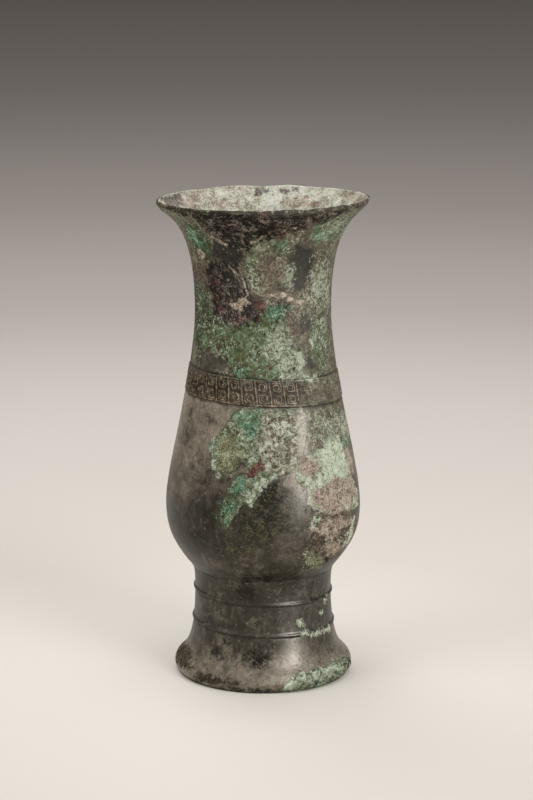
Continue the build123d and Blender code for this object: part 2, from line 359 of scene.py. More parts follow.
def outer(level):
    """Outer radius of body and foot at any level."""
    body = np.interp(level, *BODY_OUTER)
    foot = np.interp(level, *FOOT_OUTER)
    return np.where(level < SEAT_LEVEL, foot, body)


def inner(level):
    """Inner radius of the body above the bowl."""
    return np.interp(level, *BODY_INNER)


SEAT_RADIUS = float(outer(SEAT_LEVEL + 0.001))
LIP_RADIUS = (inner(RIM_LEVEL) + outer(RIM_LEVEL)) / 2


# From photo pixels to places on the wall

def sight_lines(pixels):
    """Points along the lines of sight through photo pixels, one row per pixel."""
    pixels = np.array(pixels, float)
    across = (pixels[:, 0] - PHOTO_WIDTH / 2) / FOCAL_PIXELS
    up = (PHOTO_HEIGHT / 2 - pixels[:, 1]) / FOCAL_PIXELS
    forward = cos(CAMERA_PITCH) + up * sin(CAMERA_PITCH)
    rise = up * cos(CAMERA_PITCH) - sin(CAMERA_PITCH)
    direction = np.stack([across, forward, rise], axis=1)
    steps = np.arange(NEAR_SIGHT, FAR_SIGHT, SIGHT_STEP)
    return np.array(CAMERA_PLACE) + direction[:, None, :] * steps[None, :, None]


def places(points, chosen):
    """Turns and levels of one chosen point on each line of sight."""
    x, y, z = points[np.arange(len(points)), chosen].T
    return np.stack([np.degrees(np.arctan2(x, -y)), z], axis=1)


def on_wall(pixels):
    """Turns and levels where lines of sight meet the outer wall."""
    points = sight_lines(pixels)
    gap = np.hypot(points[..., 0], points[..., 1]) - outer(points[..., 2])
    gap = np.where((points[..., 2] < 0) | (points[..., 2] > LIP_LEVEL), np.inf, gap)
    hit = gap <= 0
    return places(points, np.where(hit.any(axis=1), hit.argmax(axis=1), gap.argmin(axis=1)))


def in_mouth(pixels):
    """Turns and levels where lines of sight through the mouth meet the inner wall."""
    points = sight_lines(pixels)
    gap = np.hypot(points[..., 0], points[..., 1]) - inner(points[..., 2])
    gap = np.where(points[..., 2] < LIP_LEVEL, gap, np.inf)
    within = gap < 0
    last = within.shape[1] - 1 - within[:, ::-1].argmax(axis=1)
    return places(points, np.where(within.any(axis=1), last, gap.argmin(axis=1)))


def oval(x, y, half_width, half_height, lean=0.0):
    """A pixel outline of an oval, turned by a lean in degrees."""
    corners = []
    for step in range(OVAL_CORNERS):
        angle = 2 * pi * step / OVAL_CORNERS
        across = half_width * cos(angle)
        up = half_height * sin(angle)
        corners.append((
            x + across * cos(radians(lean)) - up * sin(radians(lean)),
            y + across * sin(radians(lean)) + up * cos(radians(lean)),
        ))
    return corners


def ovals(*rows):
    """Pixel outlines of several ovals."""
    return [oval(*row) for row in rows]


def ribbon(width, *path):
    """A pixel outline of a strip of even width along a path."""
    path = np.array(path, float)
    along = np.gradient(path, axis=0)
    side = np.stack([-along[:, 1], along[:, 0]], axis=1)
    side *= width / 2 / np.linalg.norm(side, axis=1)[:, None]
    return [tuple(point) for point in np.vstack([path + side, (path - side)[::-1]])]


# Painted outlines, in photo pixels

LIP_CRUST = [
    (163, 206), (179, 211), (200, 213), (250, 215), (300, 214), (340, 210), (351, 208), (328, 221),
    (308, 229), (288, 233), (269, 242), (251, 249), (242, 252), (230, 247), (215, 238), (204, 229),
    (193, 219), (178, 214),
]
NECK_CRUST = [
    (215, 320), (225, 325), (237, 326), (252, 319), (260, 315), (265, 308), (275, 306), (290, 305),
    (286, 314), (284, 322), (287, 332), (285, 340), (294, 349), (302, 350), (305, 362), (304, 376),
    (294, 377), (281, 377), (269, 381), (254, 379), (239, 377), (230, 368), (223, 355), (217, 349),
    (206, 347), (198, 349), (197, 340), (198, 322), (206, 320),
]
BELLY_CRUST = [
    (232, 413), (241, 408), (260, 408), (284, 409), (303, 409), (306, 420), (308, 435), (303, 453),
    (296, 467), (285, 474), (278, 477), (269, 478), (262, 487), (254, 496), (250, 502), (242, 506),
    (239, 514), (232, 521), (230, 527), (225, 529), (220, 523), (218, 515), (221, 505), (226, 496),
    (231, 488), (233, 479), (240, 474), (246, 471), (246, 460), (239, 459), (236, 470), (228, 474),
    (220, 475), (214, 470), (212, 463), (211, 450), (213, 441), (220, 432), (226, 425),
]
RIGHT_CRUST = [
    (328, 437), (340, 441), (346, 453), (351, 473), (355, 484), (358, 504), (353, 510), (345, 511),
    (336, 514), (325, 516), (317, 510), (311, 502), (311, 492), (303, 485), (296, 475), (299, 465),
    (308, 456), (319, 452),
]
LOW_CRUST = [
    (313, 523), (320, 514), (336, 513), (349, 515), (353, 520), (350, 533), (343, 548), (332, 558),
    (318, 566), (304, 568), (302, 558), (308, 545), (311, 533),
]
EDGE_CRUST = [
    (281, 690), (285, 684), (296, 676), (316, 670), (334, 662), (343, 657), (349, 658), (350, 664),
    (346, 670), (335, 679), (318, 686), (300, 690),
]
NECK_WRINKLE = [
    (259, 296), (271, 294), (279, 293), (283, 291), (289, 295), (295, 299), (301, 300), (306, 299),
    (312, 296), (306, 304), (299, 306), (290, 304), (284, 300), (278, 298), (270, 298),
]
NECK_FOLD = [(197, 250), (200, 249), (204, 253), (206, 257), (203, 260), (199, 257)]
# Round lumps on the lower edge of the belly crust: pixel place and pixel radius
BEADS = [
    (249, 501, 3.6), (254, 495, 3.0), (252, 485, 3.0), (260, 489, 3.2), (258, 494, 2.6),
    (265, 481, 3.2), (261, 475, 3.0), (272, 478, 2.4), (313, 509, 2.4),
]

PATCHES = {
    "brown": [
        [(193, 258), (208, 258), (213, 284), (208, 298), (199, 284), (193, 276)],
        [(309, 510), (350, 509), (357, 530), (345, 552), (328, 560), (314, 551), (308, 535)],
        *ovals((271, 271, 16, 16), (304, 243, 7, 5), (292, 330, 9, 19)),
    ],
    "green": [
        [(305, 236), (318, 226), (335, 219), (352, 211), (348, 230), (335, 240), (310, 243)],
        NECK_CRUST,
        *ovals((278, 247, 10, 7), (252, 262, 5, 11), (318, 345, 10, 30)),
    ],
    "moss": [
        [(185, 221), (196, 227), (206, 237), (214, 246), (219, 262), (214, 268), (207, 254), (192, 246),
         (186, 236)],
        [(191, 276), (201, 280), (213, 300), (214, 318), (206, 330), (200, 345), (194, 346), (192, 310)],
        [(221, 505), (231, 488), (240, 478), (246, 480), (240, 500), (232, 520), (224, 528), (218, 518)],
        ribbon(4, (298, 685), (320, 678), (341, 667)),
    ],
    "lichen": [
        [(214, 446), (222, 436), (236, 440), (246, 452), (240, 458), (236, 470), (226, 474), (216, 470)],
        [(301, 551), (312, 546), (324, 560), (318, 569), (303, 569)],
        *ovals((271, 271, 19, 19), (318, 352, 9, 26), (262, 246, 9, 6)),
    ],
    "frost": [
        [(272, 328), (288, 322), (287, 338), (300, 349), (302, 375), (282, 377), (268, 362), (264, 346)],
        [(313, 270), (326, 268), (329, 296), (318, 302), (311, 290)],
        [(326, 422), (346, 412), (350, 436), (332, 437)],
        *ovals((290, 276, 4, 11), (250, 414, 9, 4), (330, 229, 12, 5, -25)),
        ribbon(4, (288, 686), (314, 678), (342, 664)),
    ],
    "bare": [
        [(276, 536), (298, 530), (304, 545), (300, 562), (280, 566), (270, 552)],
        [(191, 364), (201, 353), (208, 350), (226, 363), (225, 373), (205, 375), (191, 372)],
    ],
    "teal": [
        [(236, 411), (262, 408), (263, 424), (257, 438), (250, 436), (241, 426)],
        [(181, 220), (190, 226), (199, 236), (207, 250), (199, 248), (189, 238)],
        [(264, 309), (275, 305), (292, 304), (288, 316), (276, 322), (266, 318)],
        *ovals(
            (276, 368, 4, 5), (322, 234, 11, 6, -20), (282, 248, 5, 4), (345, 441, 4, 5),
            (240, 372, 8, 5), (316, 683, 9, 3, -20), (336, 671, 6, 3, -30),
        ),
        ribbon(9, (244, 479), (237, 491)), ribbon(6, (232, 502), (225, 518)),
        ribbon(5, (214, 442), (213, 462)),
    ],
    "slate": [
        [(286, 262), (297, 246), (315, 249), (313, 270), (305, 288), (293, 293)],
        [(298, 318), (306, 313), (311, 322), (308, 333), (301, 334)],
        [(213, 240), (226, 241), (242, 245), (247, 257), (238, 266), (222, 266), (212, 255)],
        *ovals((309, 364, 4, 8)),
    ],
    "dark": [
        [(206, 263), (220, 259), (238, 261), (246, 280), (251, 297), (263, 301), (262, 314), (250, 322),
         (236, 326), (222, 322), (214, 314), (211, 298), (208, 280)],
        *ovals(
            (328, 441, 3, 2), (321, 540, 4, 3), (345, 664, 5, 4), (333, 672, 4, 2, -20),
            (311, 683, 5, 2, -12),
        ),
    ],
    # dark stains, and painted shade under the belly crust's lower edge, in its pocket, in the seam under
    # the belly and along the foot's bottom edge
    "smudge": [
        [(255, 488), (266, 479), (280, 478), (283, 488), (279, 505), (266, 509), (254, 502)],
        *ovals(
            (262, 512, 5, 3), (273, 519, 7, 3, -30), (250, 523, 4, 3), (197, 535, 7, 4, -20),
            (256, 660, 13, 9), (247, 592, 10, 7), (219, 655, 8, 5, 30), (241, 466, 5, 6),
        ),
        ribbon(5, (243, 577), (270, 580), (296, 577)), ribbon(5, (312, 600), (322, 596), (331, 589)),
        ribbon(5, (220, 684), (250, 690), (279, 691)),
    ],
    "maroon": [
        [(216, 309), (236, 306), (262, 304), (264, 314), (252, 322), (236, 327), (222, 323)],
        *ovals(
            (284, 288, 5, 5), (255, 316, 7, 5), (283, 302, 6, 4), (287, 370, 5, 4), (226, 284, 5, 5),
            (268, 424, 6, 8), (291, 424, 4, 5), (346, 668, 3, 5), (304, 685, 6, 2, -12),
            (326, 678, 6, 2, -20), (321, 538, 5, 4), (207, 524, 4, 3),
        ),
    ],
    # painted highlight: the lamp's gleam as a pale strip on the bronze between the belly crusts
    "sheen": [
        ribbon(9, (302, 413), (302, 432), (301, 452)),
    ],
    "red": [
        [(246, 471), (249, 468), (254, 463), (257, 459), (262, 459), (264, 465), (263, 471), (258, 473),
         (256, 477), (249, 478)],
        *ovals(
            (260, 308, 6, 7), (216, 283, 3, 5), (216, 297, 2, 4), (221, 310, 4, 4), (241, 318, 6, 3),
            (219, 346, 2, 4), (270, 367, 2, 3), (264, 213, 6, 2), (283, 234, 4, 3, -40),
            (232, 322, 5, 2),
        ),
    ],
    "speck": [
        [(311, 257), (326, 262), (330, 300), (326, 313), (312, 310), (305, 296)],
        [(307, 412), (345, 408), (350, 436), (330, 437), (322, 446), (307, 448)],
        EDGE_CRUST,
        *ovals(
            (289, 276, 4, 11), (300, 314, 5, 5), (320, 330, 7, 22), (279, 335, 10, 12),
            (341, 227, 7, 10), (335, 545, 12, 12), (309, 560, 7, 7), (255, 272, 8, 16),
            (212, 325, 14, 8),
        ),
    ],
    "chalk": [
        [(264, 413), (300, 411), (306, 436), (300, 462), (286, 472), (270, 476), (262, 458), (258, 440)],
    ],
    "wisp": [
        [(190, 217), (204, 222), (222, 236), (216, 240), (200, 230)],
        [(258, 216), (272, 218), (272, 226), (258, 226)],
        [(278, 226), (300, 222), (318, 216), (322, 224), (300, 232), (280, 236)],
        [(215, 236), (230, 243), (252, 245), (268, 238), (270, 246), (252, 254), (238, 256), (222, 250)],
        [(220, 262), (240, 266), (250, 296), (248, 310), (226, 312), (214, 296)],
        *ovals((231, 293, 8, 8)),
        ribbon(6, (184, 236), (192, 245), (200, 254)),
    ],
    "pale": [
        [(328, 438), (341, 440), (344, 455), (347, 478), (335, 478), (327, 486), (318, 488), (312, 482),
         (320, 471), (321, 460), (316, 454), (322, 446)],
        *ovals(
            (300, 623, 2, 4), (326, 600, 2, 2), (312, 343, 2, 2), (321, 612, 2, 2),
            (289, 687, 5, 2, -20), (303, 678, 4, 3), (316, 674, 5, 2, -15),
        ),
        ribbon(8, (298, 350), (302, 362), (298, 374)), ribbon(5, (280, 378), (300, 378), (318, 378)),
        ribbon(6, (272, 478), (262, 484), (254, 494), (249, 502)),
        ribbon(4, (297, 462), (297, 473), (304, 480)), ribbon(4, (312, 488), (310, 500), (318, 511)),
        ribbon(5, (352, 518), (350, 532), (344, 545)), ribbon(3, (317, 518), (312, 528)),
        ribbon(3, (214, 440), (213, 466), (220, 474)), ribbon(1.8, (300, 635), (314, 633), (329, 627)),
        ribbon(4, (284, 688), (296, 681)), ribbon(5, (322, 672), (338, 664)),
    ],
    "mauve": [
        [(298, 460), (306, 457), (316, 459), (318, 470), (311, 477), (302, 476)],
        [(312, 492), (321, 489), (330, 478), (341, 478), (352, 482), (354, 492), (352, 503), (342, 509),
         (332, 514), (322, 511), (314, 508)],
        *ovals((330, 548, 8, 6), (327, 530, 11, 9), (341, 522, 8, 5)),
        ribbon(6, (346, 449), (349, 460), (351, 473)),
    ],
    "cream": [
        [(229, 303), (236, 303), (239, 299), (246, 298), (251, 304), (246, 304), (243, 305), (242, 310),
         (236, 310), (231, 307)],
        [(215, 238), (220, 239), (228, 244), (227, 246), (219, 243)],
        ribbon(0.9, (228, 264), (233, 271), (240, 276)),
        ribbon(0.9, (239, 270), (244, 282), (248, 296)), ribbon(1.6, (251, 243), (256, 241)),
        ribbon(1.6, (258, 240), (262, 237)), ribbon(1.6, (241, 249), (246, 250)),
        ribbon(1.6, (261, 221), (266, 223)), ribbon(1.6, (283, 231), (286, 229)),
        ribbon(1.4, (290, 228), (296, 228)),
    ],
    "olive": [
        [(260, 486), (274, 482), (285, 490), (289, 505), (292, 522), (286, 540), (262, 547), (240, 540),
         (236, 524), (248, 508)],
        *ovals((236, 548, 18, 9), (283, 575, 18, 8)),
    ],
    "rust": [
        [(175, 645), (184, 642), (192, 648), (192, 668), (184, 668), (176, 660)],
        *ovals((215, 680, 24, 5, 12)),
    ],
    "scratch": [
        ribbon(0.9, (246, 626), (254, 616)), ribbon(0.9, (275, 626), (281, 614)),
        ribbon(0.9, (278, 595), (282, 586)), ribbon(0.9, (292, 588), (295, 584)),
        ribbon(0.9, (251, 642), (253, 650)),
    ],
}
MOUTH_PATCHES = {
    "mouth_grey": [
        [(160, 196), (170, 190), (185, 190), (186, 207), (172, 208)],
        *ovals((262, 191, 6, 2), (286, 192, 7, 3), (298, 190, 5, 2)),
    ],
    "mouth_brown": [
        *ovals((356, 200, 15, 9), (300, 204, 20, 4), (232, 206, 14, 3)),
    ],
    "mouth_light": [
        *ovals((215, 204, 12, 3)),
        ribbon(14, (191, 188), (191, 199), (189, 208)),
    ],
}
# Painted outlines on the unseen back: turn, level, half width and half height
BACK_PATCHES = {
    "brown": [(165, 62, 20, 10), (-135, 140, 9, 12)],
    "green": [
        (150, 152, 14, 16), (-150, 130, 10, 14), (175, 92, 14, 9), (-120, 70, 7, 10), (120, 16, 10, 5),
    ],
    "teal": [(170, 96, 6, 5), (145, 158, 6, 5), (-150, 136, 5, 6)],
    "moss": [(-120, 150, 10, 12), (-95, 120, 8, 10), (140, 140, 9, 9)],
    "lichen": [(-160, 134, 9, 9), (125, 100, 9, 8), (-110, 96, 9, 7)],
    "frost": [(165, 104, 9, 8), (-165, 142, 8, 10), (110, 84, 6, 9), (128, 8, 9, 4)],
    "bare": [(-140, 118, 8, 5), (100, 122, 9, 6)],
    "slate": [(-100, 140, 9, 12), (110, 134, 9, 10)],
    "dark": [(-170, 160, 18, 8), (135, 120, 9, 9)],
    "smudge": [(-140, 58, 12, 6), (150, 30, 10, 5), (-120, 12, 12, 5)],
    "maroon": [(160, 138, 7, 5), (-165, 80, 5, 4)],
    "red": [(155, 140, 3, 2), (-150, 118, 2, 2)],
    "speck": [
        (160, 100, 10, 12), (-160, 146, 9, 14), (105, 82, 8, 11), (-115, 134, 7, 11), (130, 8, 10, 4),
    ],
    "pale": [(168, 90, 5, 5), (125, 6, 6, 2)],
    "mauve": [(-172, 84, 6, 5)],
    "cream": [(-175, 152, 4, 3)],
    "olive": [(-135, 92, 12, 14)],
}


def laid_flat(turns, levels, centre):
    """Flat places, in mm, of turns and levels beside a centre turn."""
    around = (turns - centre + 180) % 360 - 180
    return np.stack([np.radians(around) * FLAT_RADIUS, levels], axis=1)


def depth_inside(points, outline):
    """Distance of flat points inside an outline, negative outside it."""
    nearest = np.full(len(points), np.inf)
    odd = np.zeros(len(points), bool)
    for start, end in zip(outline, np.roll(outline, -1, axis=0)):
        edge = end - start
        offset = points - start
        share = np.clip(offset @ edge / max(edge @ edge, TINY), 0, 1)
        nearest = np.minimum(nearest, ((offset - share[:, None] * edge) ** 2).sum(axis=1))
        spans = (start[1] > points[:, 1]) != (end[1] > points[:, 1])
        rise = edge[1] if edge[1] else TINY
        odd ^= spans & (points[:, 0] < start[0] + (points[:, 1] - start[1]) * edge[0] / rise)
    return np.where(odd, 1, -1) * np.sqrt(nearest)


def patch(corners):
    """An outline of turns and levels as a centre turn and flat corners."""
    angles = np.radians(corners[:, 0])
    centre = np.degrees(np.arctan2(np.sin(angles).sum(), np.cos(angles).sum()))
    return centre, laid_flat(corners[:, 0], corners[:, 1], centre)


def wall_oval(turn, level, half_width, half_height):
    """A wobbly oval on the wall as a centre turn and flat corners."""
    angles = np.linspace(0, 2 * pi, WALL_OVAL_CORNERS, endpoint=False)
    wobble = 1 + 0.25 * np.sin(3 * angles + turn) + 0.15 * np.sin(5 * angles + level)
    across = half_width * wobble * np.cos(angles)
    return turn, np.stack([across, level + half_height * wobble * np.sin(angles)], axis=1)


OUTER_PATCHES = {kind: [patch(on_wall(outline)) for outline in rows] for kind, rows in PATCHES.items()}
for kind, rows in BACK_PATCHES.items():
    OUTER_PATCHES[kind] += [wall_oval(*row) for row in rows]
INNER_PATCHES = {
    kind: [patch(in_mouth(outline)) for outline in rows] for kind, rows in MOUTH_PATCHES.items()
}


def empty(count):
    """A field in which no point is painted."""
    return np.full(count, -FIELD_LIMIT)


def field(turns, levels, patches):
    """Depth inside the deepest of several patches, limited to a few millimetres."""
    depth = empty(len(turns))
    for centre, outline in patches:
        points = laid_flat(turns, levels, centre)
        low = outline.min(axis=0) - FIELD_LIMIT
        high = outline.max(axis=0) + FIELD_LIMIT
        near = ((points > low) & (points < high)).all(axis=1)
        depth[near] = np.maximum(depth[near], depth_inside(points[near], outline))
    return np.clip(depth, -FIELD_LIMIT, FIELD_LIMIT)


def film_field(turns, levels):
    """Depth inside the thin mineral film, which lies on the neck and down the right side."""
    place = spread(turns, levels, outer(levels))
    neck = levels - BAND_TOP
    right = np.minimum(np.radians(turns - FILM_TURN) * FLAT_RADIUS, levels - FILM_FOOT)
    right = np.where(turns < FILM_END, right, -FIELD_LIMIT)
    depth = np.maximum(neck, right) + FILM_WANDER * rough(place, FILM_BAY, 41)
    return np.clip(depth, -FIELD_LIMIT, FIELD_LIMIT)


def outer_fields(turns, levels):
    """All painted fields of the outside at turns and levels."""
    fields = {kind: field(turns, levels, patches) for kind, patches in OUTER_PATCHES.items()}
    fields["film"] = film_field(turns, levels)
    fields["grime"] = empty(len(turns))
    return fields


def spread(turns, levels, radii):
    """Points in space, in mm, from turns, levels and radii."""
    angle = np.radians(turns)
    return np.stack([radii * np.sin(angle), -radii * np.cos(angle), levels], axis=-1)


# Meshes

def make_piece(name, points, faces, fields, nodes, material):
    """A smooth mesh piece with painted fields, standing for nodes of the frame."""
    mesh = bpy.data.meshes.new(name)
    mesh.from_pydata((points * MM).tolist(), [], faces)
    mesh.validate()
    mesh.shade_smooth()
    for key, values in fields.items():
        attribute = mesh.attributes.new(key, "FLOAT", "POINT")
        attribute.data.foreach_set("value", np.asarray(values, np.float32))
    piece = bpy.data.objects.new(name, mesh)
    bpy.context.scene.collection.objects.link(piece)
    mesh.materials.append(material)
    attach(piece, "root")
    if nodes:
        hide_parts(*nodes)


def turned_grid(radii, levels, sides, columns):
    """Turn, radius, level, side and rightward place of each point, with columns crowded at the front."""
    share = np.arange(columns) / columns
    turns = 360 * (share + FRONT_CROWDING * np.sin(2 * pi * share) / (2 * pi)) - 180
    turn = np.tile(turns, len(radii))
    radius = np.repeat(radii, columns)
    right = radius * np.sin(np.radians(turn))
    return turn, radius, np.repeat(levels, columns), np.repeat(sides, columns), right


def loop_faces(rows, columns, closed):
    """Quads between neighbouring rows of a turned grid, which closes round the axis."""
    index = np.arange(rows * columns).reshape(rows, columns)
    upper = index if closed else index[:-1]
    lower = np.roll(index, -1, axis=0) if closed else index[1:]
    quads = [upper, lower, np.roll(lower, -1, axis=1), np.roll(upper, -1, axis=1)]
    return np.stack(quads, axis=-1).reshape(-1, 4).tolist()


def body_rows():
    """Radii, levels and sides of the body's rows, from the floor over the lip to the underside.

    The side is 1 on the outer wall, -1 on the inner wall and 0 elsewhere.
    """
    radius, level = wall_points("vessel_body", False)
    bowl = (level < BOWL_TOP) & (level > SEAT_LEVEL)
    bowl_radius, bowl_level = binned((radius + level)[bowl], radius[bowl], level[bowl], BOWL_STEP)
    inner_levels = np.arange(BOWL_TOP + INNER_STEP, RIM_LEVEL - MOUTH_DEPTH, INNER_STEP)
    inner_levels = np.append(inner_levels, np.arange(RIM_LEVEL - MOUTH_DEPTH, RIM_LEVEL, MOUTH_STEP))
    outer_levels = np.arange(RIM_LEVEL, SEAT_LEVEL + SEAT_FREE, -OUTER_STEP)
    for edge, way in ((BAND_LOW, -1), (BAND_TOP, 1)):
        outer_levels = outer_levels[abs(outer_levels - edge) > EDGE_FREE]
        outer_levels = np.append(outer_levels, [edge + row * way for row in EDGE_ROWS])
    outer_levels = np.append(np.sort(outer_levels)[::-1], SEAT_LEVEL + SEAT_ROW)
    lip_half = (outer(RIM_LEVEL) - inner(RIM_LEVEL)) / 2
    lip_angles = np.linspace(pi, 0, LIP_ROWS)[1:-1]
    tenon_inner = radius[level < UNDERSIDE_LEVEL - TENON_GAP].min()
    outside_radius, outside_level = wall_points("vessel_body", True)
    tenon_outer = outside_radius[outside_level < UNDERSIDE_LEVEL - TENON_GAP].max()
    floor_radius = np.linspace(FLOOR_FAN, bowl_radius[0], FLOOR_ROWS + 1)[:-1]
    under_radius = np.linspace(tenon_inner, UNDERSIDE_FAN, UNDERSIDE_ROWS + 1)[1:]
    parts = [
        (floor_radius, np.full(FLOOR_ROWS, bowl_level[0]), -1),
        (bowl_radius, bowl_level, -1),
        (inner(inner_levels), inner_levels, -1),
        (LIP_RADIUS + lip_half * np.cos(lip_angles), RIM_LEVEL + LIP / 2 * np.sin(lip_angles), 0),
        (outer(outer_levels), outer_levels, 1),
        ([SEAT_RADIUS, tenon_outer, tenon_outer], [SEAT_LEVEL, SEAT_LEVEL, TENON_LEVEL], 0),
        ([tenon_inner, tenon_inner], [TENON_LEVEL, UNDERSIDE_LEVEL], 0),
        (under_radius, np.full(UNDERSIDE_ROWS, UNDERSIDE_LEVEL), 0),
    ]
    radii = np.concatenate([part[0] for part in parts])
    levels = np.concatenate([part[1] for part in parts])
    sides = np.concatenate([np.full(len(part[0]), part[2]) for part in parts])
    return radii, levels, sides


def band_shift(right, levels):
    """How far the band, and the wall beside it, is shifted up or down by its lean."""
    window = 1 - ease(*BAND_PULL, abs(levels - BAND_MIDDLE))
    return -BAND_LEAN * right * window


def seat_swell(levels):
    """The swelling over the seam between body and foot."""
    return SEAT_SWELL * bell(levels - SEAT_LEVEL, SEAT_REACH)


def body_fields(turn, level, row_level, place, inside, outside):
    """Painted fields of the body, each kept to its own side of the wall."""
    fields = outer_fields(turn, level)
    rusty = level - (LIP_LEVEL - RUSTY_LIP) + RUST_WANDER * rough(place, RUST_BAY, 43)
    fields["rust"] = np.maximum(fields["rust"], rusty)
    # painted shade on the wall beside the band's raised edges
    for edge_level in (BAND_LOW - BAND_SHADE[0], BAND_TOP + BAND_SHADE[0]):
        fields["grime"] = np.maximum(fields["grime"], BAND_SHADE[1] - abs(row_level - edge_level))
    for kind in fields:
        fields[kind] = np.where(outside, fields[kind], -FIELD_LIMIT)
    for kind, patches in INNER_PATCHES.items():
        fields[kind] = np.where(inside, field(turn, level, patches), -FIELD_LIMIT)
    fields["inside"] = np.where(inside, FIELD_LIMIT, -FIELD_LIMIT)
    return fields


def body_relief(place, level, fields, inside):
    """Hand-made unevenness, crumbs on the patches and the swelling over the seam."""
    dark, film, green = (ease(*PATCH_EDGE, fields[kind]) for kind in ("dark", "film", "green"))
    relief = waves(place, WALL_WAVES)
    relief += crumbs(place, dark + FILM_SHARE * film, *DARK_CRUMBS)
    relief += crumbs(place, green, *GREEN_CRUMBS)
    relief += crumbs(place, inside, *MOUTH_CRUMBS)
    return relief + seat_swell(level)


def fans(count, columns):
    """Triangles that close the first and last rows of a grid of points round two points added to it."""
    faces = []
    for column in range(columns):
        following = (column + 1) % columns
        faces.append([count, column, following])
        faces.append([count - columns + column, count + 1, count - columns + following])
    return faces


def make_body(material):
    """Vessel wall with its floor, worn lip and the recess of the band."""
    radii, levels, sides = body_rows()
    turn, row_radius, row_level, side, right = turned_grid(radii, levels, sides, BODY_COLUMNS)
    level = row_level + np.where(side == 1, band_shift(right, row_level), 0)
    radius = np.where(side == 1, outer(level), row_radius)
    recessed = (side == 1) & (row_level > BAND_LOW - RECESS_SLACK) & (row_level < BAND_TOP + RECESS_SLACK)
    radius = radius - np.where(recessed, BAND_RECESS + RECESS_SLACK, 0)
    place = spread(turn, level, radius)
    on_lip = (side == 0) & (row_level > LIP_LEVEL - LIP)
    inside = (side == -1) | (on_lip & (row_radius < LIP_RADIUS))
    outside = (side == 1) | (on_lip & ~inside)
    fields = body_fields(turn, level, row_level, place, inside, outside)
    relief = body_relief(place, level, fields, inside)
    radius = radius + np.where((side == 0) | recessed, 0, relief)
    near_lip = ease(LIP_LEVEL - LIP_WEAR[0], LIP_LEVEL - LIP_WEAR[1], level)
    level = level + near_lip * (waves(place, LIP_WAVES) - LIP_LEAN * right)
    points = spread(turn, level, radius)
    poles = np.array([[0, 0, levels[0]], [0, 0, UNDERSIDE_LEVEL]])
    faces = loop_faces(len(radii), BODY_COLUMNS, False) + fans(len(points), BODY_COLUMNS)
    fields = {kind: np.append(values, [values[0], values[-1]]) for kind, values in fields.items()}
    nodes = ["vessel_body", "belly_chaplets", "floor_chaplets"]
    make_piece("body", np.vstack([points, poles]), faces, fields, nodes, material)


def foot_rows():
    """Radii, levels and sides of the foot's rows: down the outer wall and up the inner one."""
    levels = np.append(SEAT_LEVEL, np.arange(SEAT_LEVEL - SEAT_ROW, TABLE_FREE, -FOOT_STEP))
    for string in STRING_LEVELS:
        levels = levels[abs(levels - string) > STRING_FREE]
        close = np.arange(string - STRING_FINE, string + STRING_FINE + LEVEL_SLACK, STRING_STEP)
        levels = np.append(levels, close)
    levels = np.append(np.sort(levels)[::-1], TABLE_ROWS)
    inside = np.append(np.arange(0.0, SEAT_LEVEL, FOOT_INNER_STEP), SEAT_LEVEL)
    radii = np.append(np.interp(levels, *FOOT_OUTER), np.interp(inside, *FOOT_INNER))
    sides = np.append(np.ones(len(levels)), -np.ones(len(inside)))
    return radii, np.append(levels, inside), sides


def string_relief(row_level):
    """Height of the raised strings, with a groove under each."""
    raised = np.zeros(len(row_level))
    for string in STRING_LEVELS:
        offset = abs(row_level - string) / STRING_RADIUS
        footing = STRING_FOOTING[0] * bell(offset - 1, STRING_FOOTING[1])
        raised = np.maximum(raised, STRING_RADIUS * (np.sqrt(np.clip(1 - offset ** 2, 0, 1)) + footing))
        below = row_level - string + GROOVE_PLACE * STRING_RADIUS
        raised -= STRING_GROOVE[0] * bell(below, STRING_GROOVE[1])
    return raised


def foot_shade(row_level, level):
    """Depth inside the painted shade just above the table and under the strings."""
    shade_depth = TABLE_SHADE - level
    for string in STRING_LEVELS:
        below = row_level - string + STRING_SHADE[0] * STRING_RADIUS
        shade_depth = np.maximum(shade_depth, STRING_SHADE[1] - abs(below))
    return shade_depth


def make_foot(material):
    """Ring foot with two raised strings that lean a little."""
    radii, levels, sides = foot_rows()
    turn, row_radius, row_level, side, right = turned_grid(radii, levels, sides, FOOT_COLUMNS)
    lean = STRING_LEAN * right * span(STRING_RISE, STRING_FALL, row_level)
    level = row_level - np.where(side == 1, lean, 0)
    radius = np.where(side == 1, np.interp(level, *FOOT_OUTER), row_radius)
    place = spread(turn, level, radius)
    raised = string_relief(row_level) * wear(place, *STRING_WEAR, 31)
    seat_step = SEAT_RADIUS - float(np.interp(SEAT_LEVEL, *FOOT_OUTER))
    fillet = seat_step * ease(SEAT_LEVEL - SEAT_FILLET, SEAT_LEVEL, level) + seat_swell(level)
    radius = radius + np.where(side == 1, raised, 0) + np.where(side == 1, fillet, 0)
    radius = radius + span(FREE_RISE, FREE_FALL, row_level) * waves(place, FOOT_WAVES)
    fields = outer_fields(turn, level)
    # painted shade under the strings and just above the table
    fields["grime"] = foot_shade(row_level, level)
    for kind in fields:
        fields[kind] = np.where(side == 1, fields[kind], -FIELD_LIMIT)
    for kind in [*INNER_PATCHES, "inside"]:
        fields[kind] = empty(len(turn))
    faces = loop_faces(len(radii), FOOT_COLUMNS, True)
    make_piece("foot", spread(turn, level, radius), faces, fields, ["ring_foot"], material)


